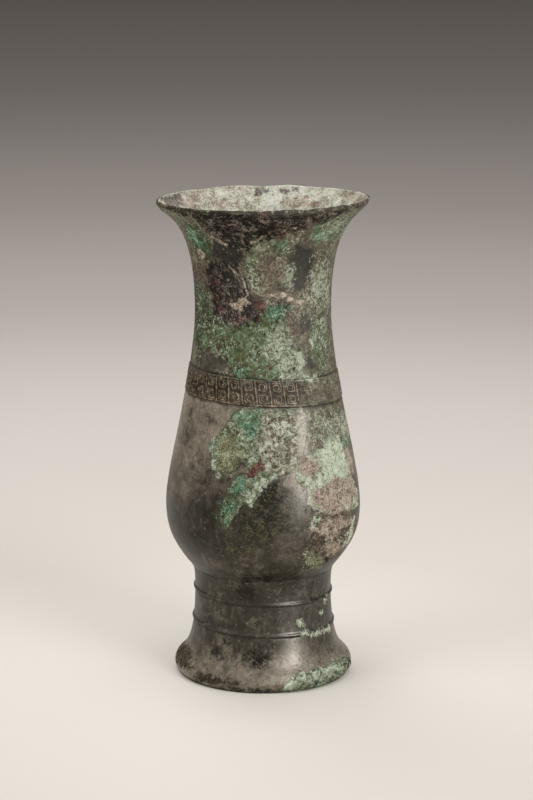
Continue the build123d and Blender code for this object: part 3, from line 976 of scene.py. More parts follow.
def slab(turns, levels, outer_radius, inner_radius, active):
    """Points and faces of a closed plate on the wall, over the active cells of a grid.

    Also gives the grid places of the points, to pick fields with.
    """
    shape = outer_radius.shape
    shift = outer_radius.size
    index = np.arange(shift).reshape(shape)
    corners = [index[:-1, :-1], index[:-1, 1:], index[1:, 1:], index[1:, :-1]]
    face = np.stack(corners, axis=-1)[active]
    quads = [face, face[:, ::-1] + shift]
    padded = np.pad(active, 1)
    neighbours = [padded[:-2, 1:-1], padded[1:-1, 2:], padded[2:, 1:-1], padded[1:-1, :-2]]
    for start, end, neighbour in zip(corners, corners[1:] + corners[:1], neighbours):
        open_edge = active & ~neighbour
        first = start[open_edge]
        second = end[open_edge]
        quads.append(np.stack([second, first, first + shift, second + shift], axis=-1))
    quads = np.vstack(quads)
    used, renumbered = np.unique(quads, return_inverse=True)
    turn = np.broadcast_to(turns, shape).ravel()
    level = np.broadcast_to(levels, shape).ravel()
    both = np.vstack([spread(turn, level, radius.ravel()) for radius in (outer_radius, inner_radius)])
    return both[used], renumbered.reshape(quads.shape).tolist(), used % shift


def mended(active):
    """The same cells, with a third cell added where two touch only at a corner."""
    active = active.copy()
    for _ in range(3):
        low_left = active[:-1, :-1].copy()
        low_right = active[:-1, 1:].copy()
        top_left = active[1:, :-1].copy()
        top_right = active[1:, 1:].copy()
        active[:-1, 1:] |= low_left & top_right & ~low_right & ~top_left
        active[:-1, :-1] |= low_right & top_left & ~low_left & ~top_right
    return active


def round_lumps(flat, centre, bumps):
    """Depth inside the nearest of several round lumps, and the height of its half ball."""
    depth = np.full(len(flat), -np.inf)
    height = np.zeros(len(flat))
    for x, y, pixel_radius in bumps:
        reach = pixel_radius * PIXEL
        middle = laid_flat(*on_wall([(x, y)]).T, centre)
        gap = reach - np.hypot(*(flat - middle).T)
        depth = np.maximum(depth, gap)
        height = np.maximum(height, np.sqrt(np.clip(gap * (2 * reach - gap), 0, None)))
    return depth, height


def crust_top(place, depth, seed, thickness, lumpy, beads):
    """Height of a crust over the wall, with its lumps and beads."""
    lumps = lumpy * crumbled(place, CRUST_LUMPS, seed)
    bead = np.clip(1 - (cells(place, BEAD_CELL, seed + 21) / BEAD_SHARE) ** 2, 0, 1)
    inside = 1 - np.exp(-np.maximum(depth, 0) / CRUST_RISE)
    return thickness * inside * (CRUST_EVEN + lumps) + beads * bead * ease(0, BEAD_EDGE, depth)


def make_crust(name, nodes, material, outline, seed, thickness=0.7, ragged=1.0, lumpy=1.0,
               beads=0.15, rim=0.0, bumps=(), painted=True):
    """One corrosion crust: a lumpy plate that follows the wall inside a ragged outline.

    The bumps are round lumps, each a pixel place and a pixel radius.
    """
    centre, corners = patch(on_wall(outline))
    low = corners.min(axis=0) - CRUST_MARGIN
    high = corners.max(axis=0) + CRUST_MARGIN
    across = np.arange(low[0], high[0], CRUST_STEP)
    levels = np.arange(max(low[1], TABLE_GAP), min(high[1], LIP_LEVEL - LIP_GAP), CRUST_STEP)
    turns = centre + np.degrees(across / FLAT_RADIUS)
    turn, level = (grid.ravel() for grid in np.meshgrid(turns, levels))
    wall_radius = outer(level)
    place = spread(turn, level, wall_radius)
    flat = laid_flat(turn, level, centre)
    lump_depth, lump_height = round_lumps(flat, centre, bumps)
    depth = depth_inside(flat, corners) + ragged * crumbled(place, RAGGED_EDGE, seed)
    depth = np.maximum(depth, lump_depth)
    top = crust_top(place, depth, seed, thickness, lumpy, beads)
    top += rim * bell(depth - RIM_PLACE, RIM_WIDTH) + LUMP_SHARE * lump_height
    top = np.where(depth > 0, top, -CRUST_DIP * np.clip(-depth / DIP_WIDTH, 0, 1))
    shape = (len(levels), len(turns))
    alive = (depth > -CRUST_SKIRT).reshape(shape)
    active = mended(alive[:-1, :-1] & alive[1:, :-1] & alive[:-1, 1:] & alive[1:, 1:])
    outer_radius = (wall_radius + top).reshape(shape)
    inner_radius = (wall_radius - CRUST_ROOT).reshape(shape)
    points, faces, chosen = slab(turns, levels[:, None], outer_radius, inner_radius, active)
    fields = outer_fields(turn[chosen], level[chosen])
    bare = ["film"] if painted else list(fields)
    for kind in bare:
        fields[kind] = empty(len(chosen))
    # painted shade along the crust's edge, and round the foot of a cream fold
    fields["grime"] = (CRUST_SHADE if painted else FOLD_SHADE) - depth[chosen]
    make_piece(name, points, faces, fields, nodes, material)


def spiral_line(half_width, half_height):
    """Points of one rounded square spiral, clockwise from its outer end at the upper left."""
    share = np.linspace(0, 1, SPIRAL_POINTS)
    angle = SPIRAL_START - share * 2 * pi * SPIRAL_TURNS
    reach = 1 - SPIRAL_SHRINK * share
    across = half_width * reach * np.sign(np.cos(angle)) * abs(np.cos(angle)) ** SPIRAL_ROUNDING
    up = half_height * reach * np.sign(np.sin(angle)) * abs(np.sin(angle)) ** SPIRAL_ROUNDING
    return np.stack([across, up], axis=1)


def line_gap(across, up, line):
    """Distance from places to a line of points."""
    nearest = np.full(across.shape, np.inf)
    for start, end in zip(line[:-1], line[1:]):
        edge = end - start
        share = np.clip(((across - start[0]) * edge[0] + (up - start[1]) * edge[1]) / (edge @ edge), 0, 1)
        gap = np.hypot(across - start[0] - share * edge[0], up - start[1] - share * edge[1])
        nearest = np.minimum(nearest, gap)
    return nearest


def make_band(name, node, first_turn, material, seed):
    """Half of the spiral band: raised lines, worn in places and half filled on the right."""
    radius = float(outer(BAND_MIDDLE)) + BAND_PROUD
    columns = int(radius * pi / BAND_STEP)
    turns = np.linspace(first_turn, first_turn + 180, columns)
    rows = int((BAND_TOP - BAND_LOW) / BAND_STEP)
    row_levels = np.linspace(BAND_LOW, BAND_TOP, rows)
    turn, row_level = (grid.ravel() for grid in np.meshgrid(turns, row_levels))
    level = row_level + band_shift(radius * np.sin(np.radians(turn)), row_level)
    wall_radius = outer(level)
    place = spread(turn, level, wall_radius)
    unit = 2 * pi * radius / SPIRAL_COLUMNS
    row_height = (BAND_TOP - BAND_LOW) / 2 - BAND_BORDER
    along = np.radians(turn - first_turn) * radius + waves(place, [(*SPIRAL_WANDER, seed)])
    along += SPIRAL_SLANT * (row_level - BAND_MIDDLE)
    across = along % unit - unit / 2
    row_sign = np.where(row_level < BAND_MIDDLE, -1, 1)
    up = row_level - BAND_MIDDLE - row_sign * row_height / 2
    up += waves(place, [(*SPIRAL_SWAY, seed + 2)])
    line = spiral_line(unit / 2 - SPIRAL_MARGINS[0], row_height / 2 - SPIRAL_MARGINS[1])
    gap = line_gap(row_sign * across, row_sign * up, line)
    gap = np.minimum(gap, unit / 2 - abs(across))
    edge = np.minimum(row_level - BAND_LOW, BAND_TOP - row_level)
    gap = np.minimum(gap, abs(edge - BORDER_LINE))
    ridge = 1 - ease(*RIDGE_FALL, gap)
    whole = wear(place, *BAND_WEAR, seed + 3) * (1 - FILLED_SHARE * span(FILLED_FROM, FILLED_TO, turn))
    groove = (1 - ridge) * whole
    relief = -GROOVE_DEPTH * groove - BAND_BEVEL * (1 - ease(0, BAND_BEVEL, edge)) - BAND_SETTLE
    relief += crumbs(place, 1, *BAND_GRAIN, seed + 5)
    shape = (rows, columns)
    outer_radius = (wall_radius + BAND_PROUD + relief).reshape(shape)
    inner_radius = (wall_radius - BAND_RECESS).reshape(shape)
    every_cell = np.full((rows - 1, columns - 1), True)
    points, faces, chosen = slab(turns, level.reshape(shape), outer_radius, inner_radius, every_cell)
    fields = outer_fields(turn[chosen], level[chosen])
    fields["relief"] = groove[chosen]
    make_piece(name, points, faces, fields, [node], material)


# Materials

NOISE_RANGE = (0.40, 0.60)          # where most values of node noise lie
NOISE_MIDDLE = 0.5
FLECK_SPREAD = 0.26                 # noise values over which flecks go from none to all over
FLECK_EDGE = (-0.015, 0.025)        # noise values over which a fleck's edge fades
DOT_EDGE = (0.52, 0.28)             # distances from a dot's centre, in cells, over which it fades
DOT_FADE = 0.04                     # share of the dots that are partly faded
HOLLOW_RANGE = (0.50, 0.40)         # noise values over which dark hollows and pale grains set in
GRAIN_RANGE = (0.53, 0.62)
EDGE_GAIN = 8                       # how strongly noise breaks the edge of a painted field
SEED_STEP = 3.7
DARK_HOLLOW = (30, 26, 18)
PALE_GRAIN = (196, 203, 182)
WARM_GLOSS = (1.0, 0.92, 0.80, 1.0)

# Screen colours of the grounds and of each painted layer, from the darkest to the palest
COLOURS = {
    # bronze_low, bronze_high and bronze_flange are one bronze in painted shade and in painted light from
    # above
    "bronze_low": [(29, 26, 21), (48, 44, 38), (63, 58, 50), (97, 90, 79)],
    "bronze_high": [(66, 60, 50), (111, 102, 88), (132, 123, 108), (153, 144, 128)],
    "bronze_flange": [(36, 32, 25), (102, 94, 81), (124, 115, 101), (142, 133, 119)],
    "band": [(50, 41, 29), (80, 68, 51), (101, 88, 69), (144, 131, 107)],
    "band_dirt": [(20, 15, 9), (38, 30, 21), (50, 41, 29), (74, 63, 47)],
    "green_crust": [(86, 78, 52), (104, 111, 82), (117, 134, 106), (164, 173, 149)],
    "dark_crust": [(3, 2, 1), (21, 17, 12), (55, 47, 39), (132, 121, 109)],
    "pale_crust": [(112, 104, 80), (158, 163, 137), (190, 199, 174), (214, 222, 203)],
    "cream_crust": [(92, 80, 65), (138, 126, 108), (168, 157, 139), (198, 190, 174)],
    "film": [(54, 46, 32), (84, 76, 57), (104, 98, 76), (130, 126, 103)],
    "olive": [(4, 3, 0), (22, 18, 4), (52, 46, 20), (92, 84, 50)],
    "lichen": [(74, 70, 42), (110, 110, 80), (138, 140, 111), (178, 180, 153)],
    "rust": [(18, 14, 8), (42, 35, 24), (66, 57, 42), (98, 89, 70)],
    "green": [(72, 62, 36), (90, 100, 68), (86, 112, 80), (134, 149, 119)],
    "ochre": [(60, 51, 28), (104, 95, 62), (140, 132, 100)],
    "moss": [(52, 44, 27), (60, 67, 43), (66, 82, 57), (100, 116, 88)],
    "teal": [(50, 78, 56), (76, 118, 89), (94, 138, 109), (144, 176, 151)],
    "mint": [(144, 150, 124), (178, 188, 163), (206, 214, 193)],
    "brown": [(50, 41, 31), (78, 68, 54), (100, 89, 74), (140, 130, 112)],
    "slate": [(18, 18, 14), (29, 29, 23), (38, 37, 30), (54, 51, 43)],
    "bare": [(55, 49, 42), (69, 63, 55), (82, 76, 67), (99, 92, 82)],
    "dark": [(4, 3, 2), (18, 13, 11), (38, 30, 26), (88, 77, 68)],
    "maroon": [(10, 5, 5), (25, 12, 11), (42, 22, 19), (74, 55, 47)],
    # colours of the painted shade in corners and along edges
    "grime": [(14, 12, 9), (26, 22, 17), (38, 33, 26), (62, 56, 45)],
    "chalk": [(92, 78, 66), (140, 132, 114), (180, 180, 161), (216, 219, 203)],
    "frost": [(118, 120, 94), (160, 168, 142), (186, 195, 172), (212, 219, 200)],
    "pale": [(144, 150, 123), (186, 197, 172), (204, 215, 192), (222, 229, 211)],
    "mauve": [(98, 83, 69), (156, 140, 124), (176, 161, 145), (202, 191, 176)],
    # colours of the painted highlight
    "sheen": [(166, 160, 147), (204, 199, 187), (217, 212, 201)],
    "red": [(34, 14, 14), (72, 35, 32), (94, 52, 46), (130, 96, 86)],
    "cream": [(88, 76, 62), (146, 133, 114), (176, 164, 145), (204, 195, 179)],
    "wisp": [(132, 121, 105), (198, 190, 174)],
    "mouth_pale": [(131, 123, 110), (172, 167, 153), (192, 190, 177), (209, 210, 198)],
    "mouth_tint": [(112, 120, 94), (158, 170, 144), (186, 196, 172)],
    "mouth_blush": [(112, 97, 84), (158, 143, 128), (184, 171, 156)],
    "mouth_grey": [(60, 52, 48), (88, 80, 75), (108, 99, 94), (138, 129, 122)],
    "mouth_brown": [(78, 67, 52), (122, 111, 94), (150, 140, 122), (188, 181, 164)],
    "mouth_light": [(104, 91, 80), (146, 133, 121), (184, 173, 162)],
}


def tone(red, green, blue):
    """A screen colour from 0 to 255 as the linear colour that renders as it."""
    linear = []
    for value in (red, green, blue):
        share = value / 255
        linear.append(share / 12.92 if share < 0.04045 else ((share + 0.055) / 1.055) ** 2.4)
    return (*linear, 1.0)


class Finish:
    """A node material that is built up in layers of colour, roughness and height."""

    def __init__(self, name):
        self.material = bpy.data.materials.new(name)
        self.material.use_nodes = True
        self.tree = self.material.node_tree
        self.tree.nodes.clear()
        self.place = self.add("ShaderNodeTexCoord").outputs["Object"]
        self.colour = None
        self.roughness = None
        self.height = 0.0

    def add(self, kind, inputs=(), **settings):
        """A new node with its settings made, and its inputs set or linked."""
        node = self.tree.nodes.new(kind)
        for key, value in settings.items():
            setattr(node, key, value)
        for key, value in dict(inputs).items():
            if isinstance(value, bpy.types.NodeSocket):
                self.tree.links.new(value, node.inputs[key])
            else:
                node.inputs[key].default_value = value
        return node

    def math(self, operation, *values):
        return self.add("ShaderNodeMath", enumerate(values), operation=operation).outputs[0]

    def times(self, *values):
        """The product of several values."""
        result = values[0]
        for value in values[1:]:
            result = self.math("MULTIPLY", result, value)
        return result

    def summed(self, start, *terms):
        """A start value plus several values, each times its weight."""
        for value, weight in terms:
            start = self.math("MULTIPLY_ADD", value, weight, start)
        return start

    def step(self, value, low, high):
        """0 at low, 1 at high and a smooth step between them."""
        inputs = {"Value": value, "From Min": low, "From Max": high}
        return self.add("ShaderNodeMapRange", inputs, interpolation_type="SMOOTHSTEP").outputs["Result"]

    def stretched(self, x, y, z):
        inputs = {"Vector": self.place, "Scale": (x, y, z)}
        return self.add("ShaderNodeMapping", inputs).outputs["Vector"]

    def level(self):
        """Height above the table, in metres."""
        return self.add("ShaderNodeSeparateXYZ", {0: self.place}).outputs["Z"]

    def noise(self, size, detail=3.0, roughness=0.55, seed=0.0, place=None, swirl=0.0):
        inputs = {
            "Vector": place or self.place, "W": seed * SEED_STEP, "Scale": 1 / (size * MM),
            "Detail": detail, "Roughness": roughness, "Distortion": swirl,
        }
        return self.add("ShaderNodeTexNoise", inputs, noise_dimensions="4D").outputs["Fac"]

    def attribute(self, name):
        return self.add("ShaderNodeAttribute", attribute_name=name).outputs["Fac"]

    def ramp(self, value, *stops):
        node = self.add("ShaderNodeValToRGB", {"Fac": value})
        elements = node.color_ramp.elements
        while len(elements) < len(stops):
            elements.new(0.5)
        for element, (position, colour) in zip(elements, stops):
            element.position = position
            element.color = tone(*colour)
        return node.outputs["Color"]

    def palette(self, value, kind):
        """The colours of a kind, spread evenly over the range in which noise lies."""
        colours = COLOURS[kind]
        positions = np.linspace(*NOISE_RANGE, len(colours))
        return self.ramp(value, *zip(positions.tolist(), colours))

    def mix(self, share, first, second):
        inputs = {0: share, 6: first, 7: second}
        return self.add("ShaderNodeMix", inputs, data_type="RGBA").outputs[2]

    def between(self, share, first, second):
        inputs = {0: share, 2: first, 3: second}
        return self.add("ShaderNodeMix", inputs, data_type="FLOAT").outputs[0]

    def flecks(self, size, share, seed, swirl=0.0):
        """1 on scattered grains that cover about a share of the surface."""
        level = NOISE_MIDDLE + FLECK_SPREAD * (0.5 - share)
        value = self.noise(size, 4, 0.7, seed, swirl=swirl)
        return self.step(value, level + FLECK_EDGE[0], level + FLECK_EDGE[1])

    def dots(self, size, share):
        """1 on separate round grains, which stand in about a share of the cells of a size."""
        node = self.add("ShaderNodeTexVoronoi", {"Vector": self.place, "Scale": 1 / (size * MM)})
        spot = self.step(node.outputs["Distance"], *DOT_EDGE)
        present = self.step(node.outputs["Color"], 1.0 - DOT_FADE - share, 1.0 - share)
        return self.times(spot, present)

    def veins(self, size, width, seed):
        """1 on thin curled lines."""
        value = self.noise(size, 3, 0.6, seed)
        away = self.math("ABSOLUTE", self.math("SUBTRACT", value, NOISE_MIDDLE))
        return self.step(away, width, 0.0)

    def grained(self, colour, grain, hollows, grains):
        """A colour with dark hollows and pale grains."""
        low = self.times(self.step(grain, *HOLLOW_RANGE), hollows)
        high = self.times(self.step(grain, *GRAIN_RANGE), grains)
        return self.mix(high, self.mix(low, colour, tone(*DARK_HOLLOW)), tone(*PALE_GRAIN))

    def cover(self, mask, colour, roughness, height=0.0):
        """One more layer where the mask is 1. The height is in millimetres."""
        self.colour = self.mix(mask, self.colour, colour)
        self.roughness = self.between(mask, self.roughness, roughness)
        if height:
            self.height = self.summed(self.height, (mask, height))

    def speckle(self, where, grain, colour, roughness, height=0.0):
        """Cover scattered grains in a place with one colour."""
        self.cover(self.times(where, self.flecks(*grain)), tone(*colour), roughness, height)

    def done(self, specular):
        """The material, with its layers led into a shader."""
        bump = self.add("ShaderNodeBump", {"Height": self.height, "Distance": MM, "Strength": 1.0})
        shader = self.add("ShaderNodeBsdfPrincipled", {
            "Base Color": self.colour, "Roughness": self.roughness, "Specular IOR Level": specular,
            "Specular Tint": WARM_GLOSS, "Normal": bump.outputs["Normal"],
        })
        self.add("ShaderNodeOutputMaterial", {"Surface": shader.outputs["BSDF"]})
        return self.material


class PaintedFinish(Finish):
    """A finish that is painted over by its fields, with noises that the layers share."""

    def __init__(self, name):
        super().__init__(name)
        self.edge = self.noise(3.2, 6, 0.74, 20)
        self.grain = self.noise(0.6, 2, 0.6, 21)
        self.clump = self.noise(2.4, 5, 0.68, 22, swirl=0.8)
        self.mixed = self.summed(-0.075, (self.clump, 0.6), (self.grain, 0.55))
        self.coarse = self.step(self.noise(6.0, 3, 0.6, 29), 0.42, 0.58)
        self.hollows = self.summed(0.15, (self.coarse, 0.55))
        self.grains = self.summed(0.05, (self.coarse, 0.35))
        self.mint = self.palette(self.grain, "mint")

    def mask(self, kind, soft, ragged, share=1.0, edge=None):
        """A share inside a painted field and 0 outside it, with an edge broken by noise."""
        gain = EDGE_GAIN * ragged
        broken = self.summed(-gain * NOISE_MIDDLE, (edge or self.edge, gain))
        return self.times(self.step(self.math("ADD", self.attribute(kind), broken), -soft, soft), share)

    def lay(self, kind, where, value, roughness=0.85, height=0.0, grainy=False):
        """Cover a place with the colours of a kind, picked by a noise value."""
        colour = self.palette(value, kind)
        if grainy:
            colour = self.grained(colour, self.grain, self.hollows, self.grains)
        self.cover(where, colour, roughness, height)

    def paint(self, kind, edge, value, *look, share=1.0, **more_look):
        """Cover a painted field with its own colours. The edge is its softness and raggedness."""
        where = self.mask(kind, *edge, share)
        self.lay(kind, where, value, *look, **more_look)
        return where


def bronze_ground(finish):
    """Dark bronze in painted light and shade, browner and lighter on the upper body and the foot's flange
    and almost black on the lower belly, with stains, streaks and specks.
    """
    cloud = finish.noise(17, 4, 0.6, 1)
    mottle = finish.noise(3.4, 5, 0.70, 2, swirl=0.6)
    streak = finish.noise(2.0, 3, 0.6, 3, finish.stretched(1, 1, 0.10))
    value = finish.summed(-0.05, (cloud, 0.35), (mottle, 0.55), (streak, 0.20))
    low, high, flange = (finish.palette(value, f"bronze_{part}") for part in ("low", "high", "flange"))
    # painted light and shade: the lit colours on the upper body and the foot's flange, the shaded ones
    # between
    wavy = finish.summed(finish.level(), (cloud, 0.05))
    finish.colour = finish.mix(finish.step(wavy, 0.086, 0.124), low, high)
    finish.colour = finish.mix(finish.step(wavy, 0.045, 0.034), finish.colour, flange)
    finish.roughness = finish.summed(0.12, (mottle, 0.5))
    finish.height = finish.times(finish.noise(0.8, 3, 0.6, 4), 0.03)
    finish.speckle(0.6, (3.0, 0.16, 7, 0.8), (22, 18, 12), 0.42)
    finish.speckle(0.75, (0.8, 0.10, 5), (16, 13, 8), 0.5, -0.03)
    finish.cover(finish.times(finish.dots(1.1, 0.14), 0.45), tone(134, 126, 96), 0.6)


def band_ground(finish):
    """Brown worn bronze, dark in the grooves and lighter on the ridges."""
    mottle = finish.noise(1.4, 4, 0.65, 8)
    finish.colour = finish.palette(mottle, "band")
    finish.roughness = 0.5
    finish.height = finish.times(finish.noise(0.6, 3, 0.6, 9), 0.05)
    groove = finish.step(finish.attribute("relief"), 0.1, 0.8)
    finish.cover(groove, finish.palette(mottle, "band_dirt"), 0.8)


def grainy_ground(finish, kind, clump, grain, hollows, grains, height):
    """A crust in the colours of a kind, with dark hollows and pale grains."""
    finish.colour = finish.grained(finish.palette(clump, kind), grain, hollows, grains)
    finish.roughness = 0.9
    finish.height = finish.times(grain, height)


def green_ground(finish):
    """Grainy malachite crust."""
    clump = finish.noise(2.2, 5, 0.68, 13, swirl=0.8)
    grain = finish.noise(0.6, 2, 0.6, 10)
    grainy_ground(finish, "green_crust", clump, grain, hollows=0.6, grains=0.35, height=0.22)


def dark_ground(finish):
    """Dark soil crust with curled grey and brown grains."""
    grain = finish.noise(0.8, 3, 0.65, 15, swirl=1.0)
    clump = finish.noise(4.6, 5, 0.68, 14, swirl=1.4)
    value = finish.summed(-0.15, (clump, 0.85), (grain, 0.45))
    finish.colour = finish.palette(value, "dark_crust")
    finish.roughness = 0.7
    finish.height = finish.times(value, 0.7)
    finish.speckle(0.6, (0.9, 0.07, 16, 1.0), (146, 136, 121), 0.8, 0.1)
    finish.speckle(0.6, (2.2, 0.08, 12), (34, 42, 30), 0.8)


def pale_ground(finish):
    """Pale green and grey-brown crust."""
    clump = finish.noise(1.8, 5, 0.68, 18, swirl=0.6)
    grain = finish.noise(0.6, 2, 0.6, 11)
    grainy_ground(finish, "pale_crust", clump, grain, hollows=0.45, grains=0.3, height=0.2)


def cream_ground(finish):
    """Smooth cream mineral fold with brown streaks."""
    grain = finish.noise(1.3, 4, 0.62, 19)
    finish.colour = finish.palette(grain, "cream_crust")
    finish.roughness = 0.6
    finish.height = finish.times(grain, 0.15)


def stain_layers(finish):
    """Thin mineral film, olive stain with dark crevices, dark stains that are partly painted shade, lichen
    and rust. Gives the film.
    """
    film = finish.mask("film", 1.5, 2.5)
    finish.lay("film", finish.times(film, 0.94), finish.clump, 0.65, 0.10, grainy=True)
    olive = finish.mask("olive", 3.0, 3.0, 0.85)
    olive_colour = finish.palette(finish.clump, "olive")
    finish.cover(olive, finish.grained(olive_colour, finish.grain, 0.6, 0.1), 0.34)
    for grain in ((2.6, 0.16, 46, 0.8), (1.0, 0.18, 47, 0.8)):
        finish.speckle(finish.times(olive, 0.9), grain, (5, 4, 1), 0.30, -0.22)
    finish.speckle(finish.times(olive, 0.6), (1.2, 0.10, 48), (118, 113, 88), 0.6, 0.05)
    # dark stains, partly painted shade under the belly crust, in the seam under the belly and at the
    # foot's bottom edge
    finish.speckle(finish.mask("smudge", 1.8, 2.4), (2.0, 0.80, 49, 0.8), (18, 14, 3), 0.30)
    finish.paint("lichen", (1.4, 2.4), finish.mixed, height=0.06, share=0.9)
    finish.paint("rust", (0.9, 1.6), finish.mixed)
    return film


def green_layers(finish, film):
    """Green crusts, with pale and dark grains on them and on the film."""
    green = finish.paint("green", (1.0, 2.6), finish.clump, height=0.10, grainy=True)
    finish.lay("ochre", finish.times(green, finish.flecks(2.4, 0.20, 30, 0.8), 0.6), finish.grain)
    finish.paint("moss", (1.0, 2.4), finish.clump, height=0.08, grainy=True)
    broken = finish.times(finish.flecks(1.5, 0.82, 31, 0.5), 0.95)
    finish.paint("teal", (0.9, 2.4), finish.clump, height=0.05, grainy=True, share=broken)
    finish.speckle(green, (1.1, 0.09, 32), (36, 28, 20), 0.8, -0.15)
    crusted = finish.math("MAXIMUM", film, green)
    gathered = finish.times(finish.step(finish.clump, 0.46, 0.56), finish.coarse)
    finish.cover(finish.times(crusted, finish.dots(1.2, 0.50), gathered, 0.85), finish.mint, 0.9, 0.10)
    fine = finish.times(finish.flecks(0.8, 0.10, 23), finish.coarse)
    finish.cover(finish.times(crusted, fine, 0.8), finish.mint, 0.9, 0.08)
    finish.speckle(finish.times(crusted, 0.7), (1.2, 0.10, 24), (30, 25, 17), 0.7, -0.08)


def dark_layers(finish):
    """Brown, slate and bare places, dark soil, maroon copper oxide, and painted shade in corners and along
    edges.
    """
    finish.paint("brown", (1.4, 2.2), finish.mixed, 0.75, 0.06, share=0.92)
    finish.paint("slate", (1.0, 1.5), finish.clump, 0.5)
    finish.paint("bare", (1.0, 1.5), finish.clump, 0.45)
    finish.paint("dark", (0.9, 2.0), finish.clump, 0.7, 0.05)
    finish.paint("maroon", (0.9, 2.2), finish.clump, 0.42, grainy=True, share=finish.flecks(1.5, 0.72, 34))
    # painted shade in corners, under the strings and along crust edges
    finish.paint("grime", (0.35, 0.3), finish.mixed, 0.75, share=0.7)


def pale_layers(finish):
    """Chalk, specks, frost, pale and mauve crust, a painted highlight, red spots, cream, wisps and
    scratches.
    """
    chalk = finish.paint("chalk", (1.6, 2.4), finish.clump, 0.9, grainy=True, share=0.9)
    finish.speckle(chalk, (1.3, 0.12, 28), (64, 50, 42), 0.9, -0.15)
    clustered = finish.times(finish.dots(0.95, 0.85), finish.step(finish.clump, 0.42, 0.50))
    finish.cover(finish.mask("speck", 1.8, 2.8, clustered), finish.mint, 0.9, 0.14)
    broken = finish.times(finish.flecks(1.1, 0.62, 45, 0.8), 0.9)
    finish.paint("frost", (1.6, 2.6), finish.mixed, 0.9, 0.08, share=broken)
    finish.paint("pale", (0.8, 1.8), finish.mixed, 0.9, 0.08, share=finish.flecks(1.3, 0.85, 35, 0.6))
    mauve = finish.paint("mauve", (0.8, 1.8), finish.mixed, 0.9)
    finish.speckle(mauve, (0.9, 0.10, 26), (74, 60, 50), 0.9, -0.15)
    finish.cover(finish.times(mauve, finish.dots(1.0, 0.22), 0.8), tone(196, 204, 182), 0.9)
    # painted highlight on the bronze between the belly crusts
    finish.paint("sheen", (2.2, 1.6), finish.mixed, 0.5, share=0.95)
    finish.paint("red", (0.5, 1.2), finish.clump, 0.75, grainy=True, share=finish.flecks(1.6, 0.85, 36))
    finish.paint("cream", (0.3, 0.5), finish.mixed, 0.75, 0.15)
    veins = finish.times(finish.veins(2.0, 0.03, 38), finish.flecks(1.8, 0.5, 39), 0.9)
    finish.paint("wisp", (1.2, 2.0), finish.grain, 0.8, 0.12, share=veins)
    finish.cover(finish.mask("scratch", 0.15, 0.05, 0.35), tone(140, 136, 112), 0.5)


def mouth_layers(finish):
    """Cream and pale green crust inside the mouth, with grey and brown patches."""
    edge = finish.noise(3.0, 6, 0.74, 40)
    grain = finish.noise(0.7, 3, 0.62, 41)
    broad = finish.noise(6.5, 5, 0.62, 42, swirl=0.6)
    mixed = finish.summed(-0.075, (broad, 0.60), (grain, 0.55))
    inside = finish.step(finish.attribute("inside"), -0.5, 0.5)
    finish.lay("mouth_pale", inside, mixed, 0.9)
    tint = finish.times(inside, finish.step(finish.noise(4, 5, 0.7, 43), 0.5, 0.62), 0.7)
    finish.lay("mouth_tint", tint, grain, 0.9)
    blush = finish.times(inside, finish.step(finish.noise(5, 5, 0.7, 44), 0.52, 0.64), 0.55)
    finish.lay("mouth_blush", blush, grain, 0.9)
    finish.lay("mouth_grey", finish.mask("mouth_grey", 0.6, 1.4, edge=edge), mixed)
    finish.lay("mouth_brown", finish.mask("mouth_brown", 1.0, 2.2, 0.9, edge), mixed)
    finish.lay("mouth_light", finish.mask("mouth_light", 0.6, 1.5, 0.9, edge), mixed)


def make_material(name, ground, specular, mouth=False):
    """A material with its own ground under the shared painted layers."""
    finish = PaintedFinish(name)
    ground(finish)
    film = stain_layers(finish)
    green_layers(finish, film)
    dark_layers(finish)
    pale_layers(finish)
    if mouth:
        mouth_layers(finish)
    return finish.done(specular)


bronze = make_material("bronze", bronze_ground, 0.28, mouth=True)
band_bronze = make_material("band_bronze", band_ground, 0.3)
green_crust = make_material("green_crust", green_ground, 0.14)
dark_crust = make_material("dark_crust", dark_ground, 0.14)
pale_crust = make_material("pale_crust", pale_ground, 0.14)
cream_crust = make_material("cream_crust", cream_ground, 0.3)

make_body(bronze)
make_foot(bronze)
make_band("band_front", "leiwen_band_front", -90, band_bronze, 51)
make_band("band_back", "leiwen_band_back", 90, band_bronze, 61)
make_crust("lip_crust", ["crust_lip_front"], dark_crust, LIP_CRUST, 71,
           thickness=0.5, ragged=0.9)
make_crust("neck_crust", ["crust_neck_front"], green_crust, NECK_CRUST, 81, ragged=1.1)
make_crust("belly_crust", ["crust_belly_front"], green_crust, BELLY_CRUST, 91,
           ragged=0.7, beads=0.35, rim=0.35, bumps=BEADS)
make_crust("right_crust", ["crust_belly_right"], pale_crust, RIGHT_CRUST, 101, ragged=1.1)
make_crust("low_crust", ["crust_belly_low"], dark_crust, LOW_CRUST, 111,
           ragged=1.1, beads=0.2)
make_crust("edge_crust", ["crust_foot_edge"], green_crust, EDGE_CRUST, 121, beads=0.3)
make_crust("neck_wrinkle", [], cream_crust, NECK_WRINKLE, 131,
           thickness=0.65, ragged=0.25, lumpy=0.15, beads=0.0, painted=False)
make_crust("neck_fold", [], cream_crust, NECK_FOLD, 141,
           thickness=0.4, ragged=0.3, lumpy=0.2, beads=0.0, painted=False)


# Stage, light and camera. Sizes here are in metres

FLOOR_HALF = 12.0
FLOOR_REACH = 8.0
# Shares of the floor's reach, and its screen colours there: a painted pool of light round the vessel and
# painted falloff farther out
FLOOR_LIGHT_STOPS = [
    (0.0, (236, 230, 222)), (0.008, (232, 226, 218)), (0.02, (218, 211, 203)), (0.06, (208, 201, 195)),
    (0.10, (186, 177, 172)), (0.175, (166, 158, 153)), (0.325, (158, 150, 145)), (0.825, (133, 126, 118)),
]
LAMP_TARGET = Vector((0, 0, 0.09))
WORLD_COLOUR = (0.9, 0.88, 0.86, 1)
WORLD_STRENGTH = 0.38
CAMERA_REACH = 50


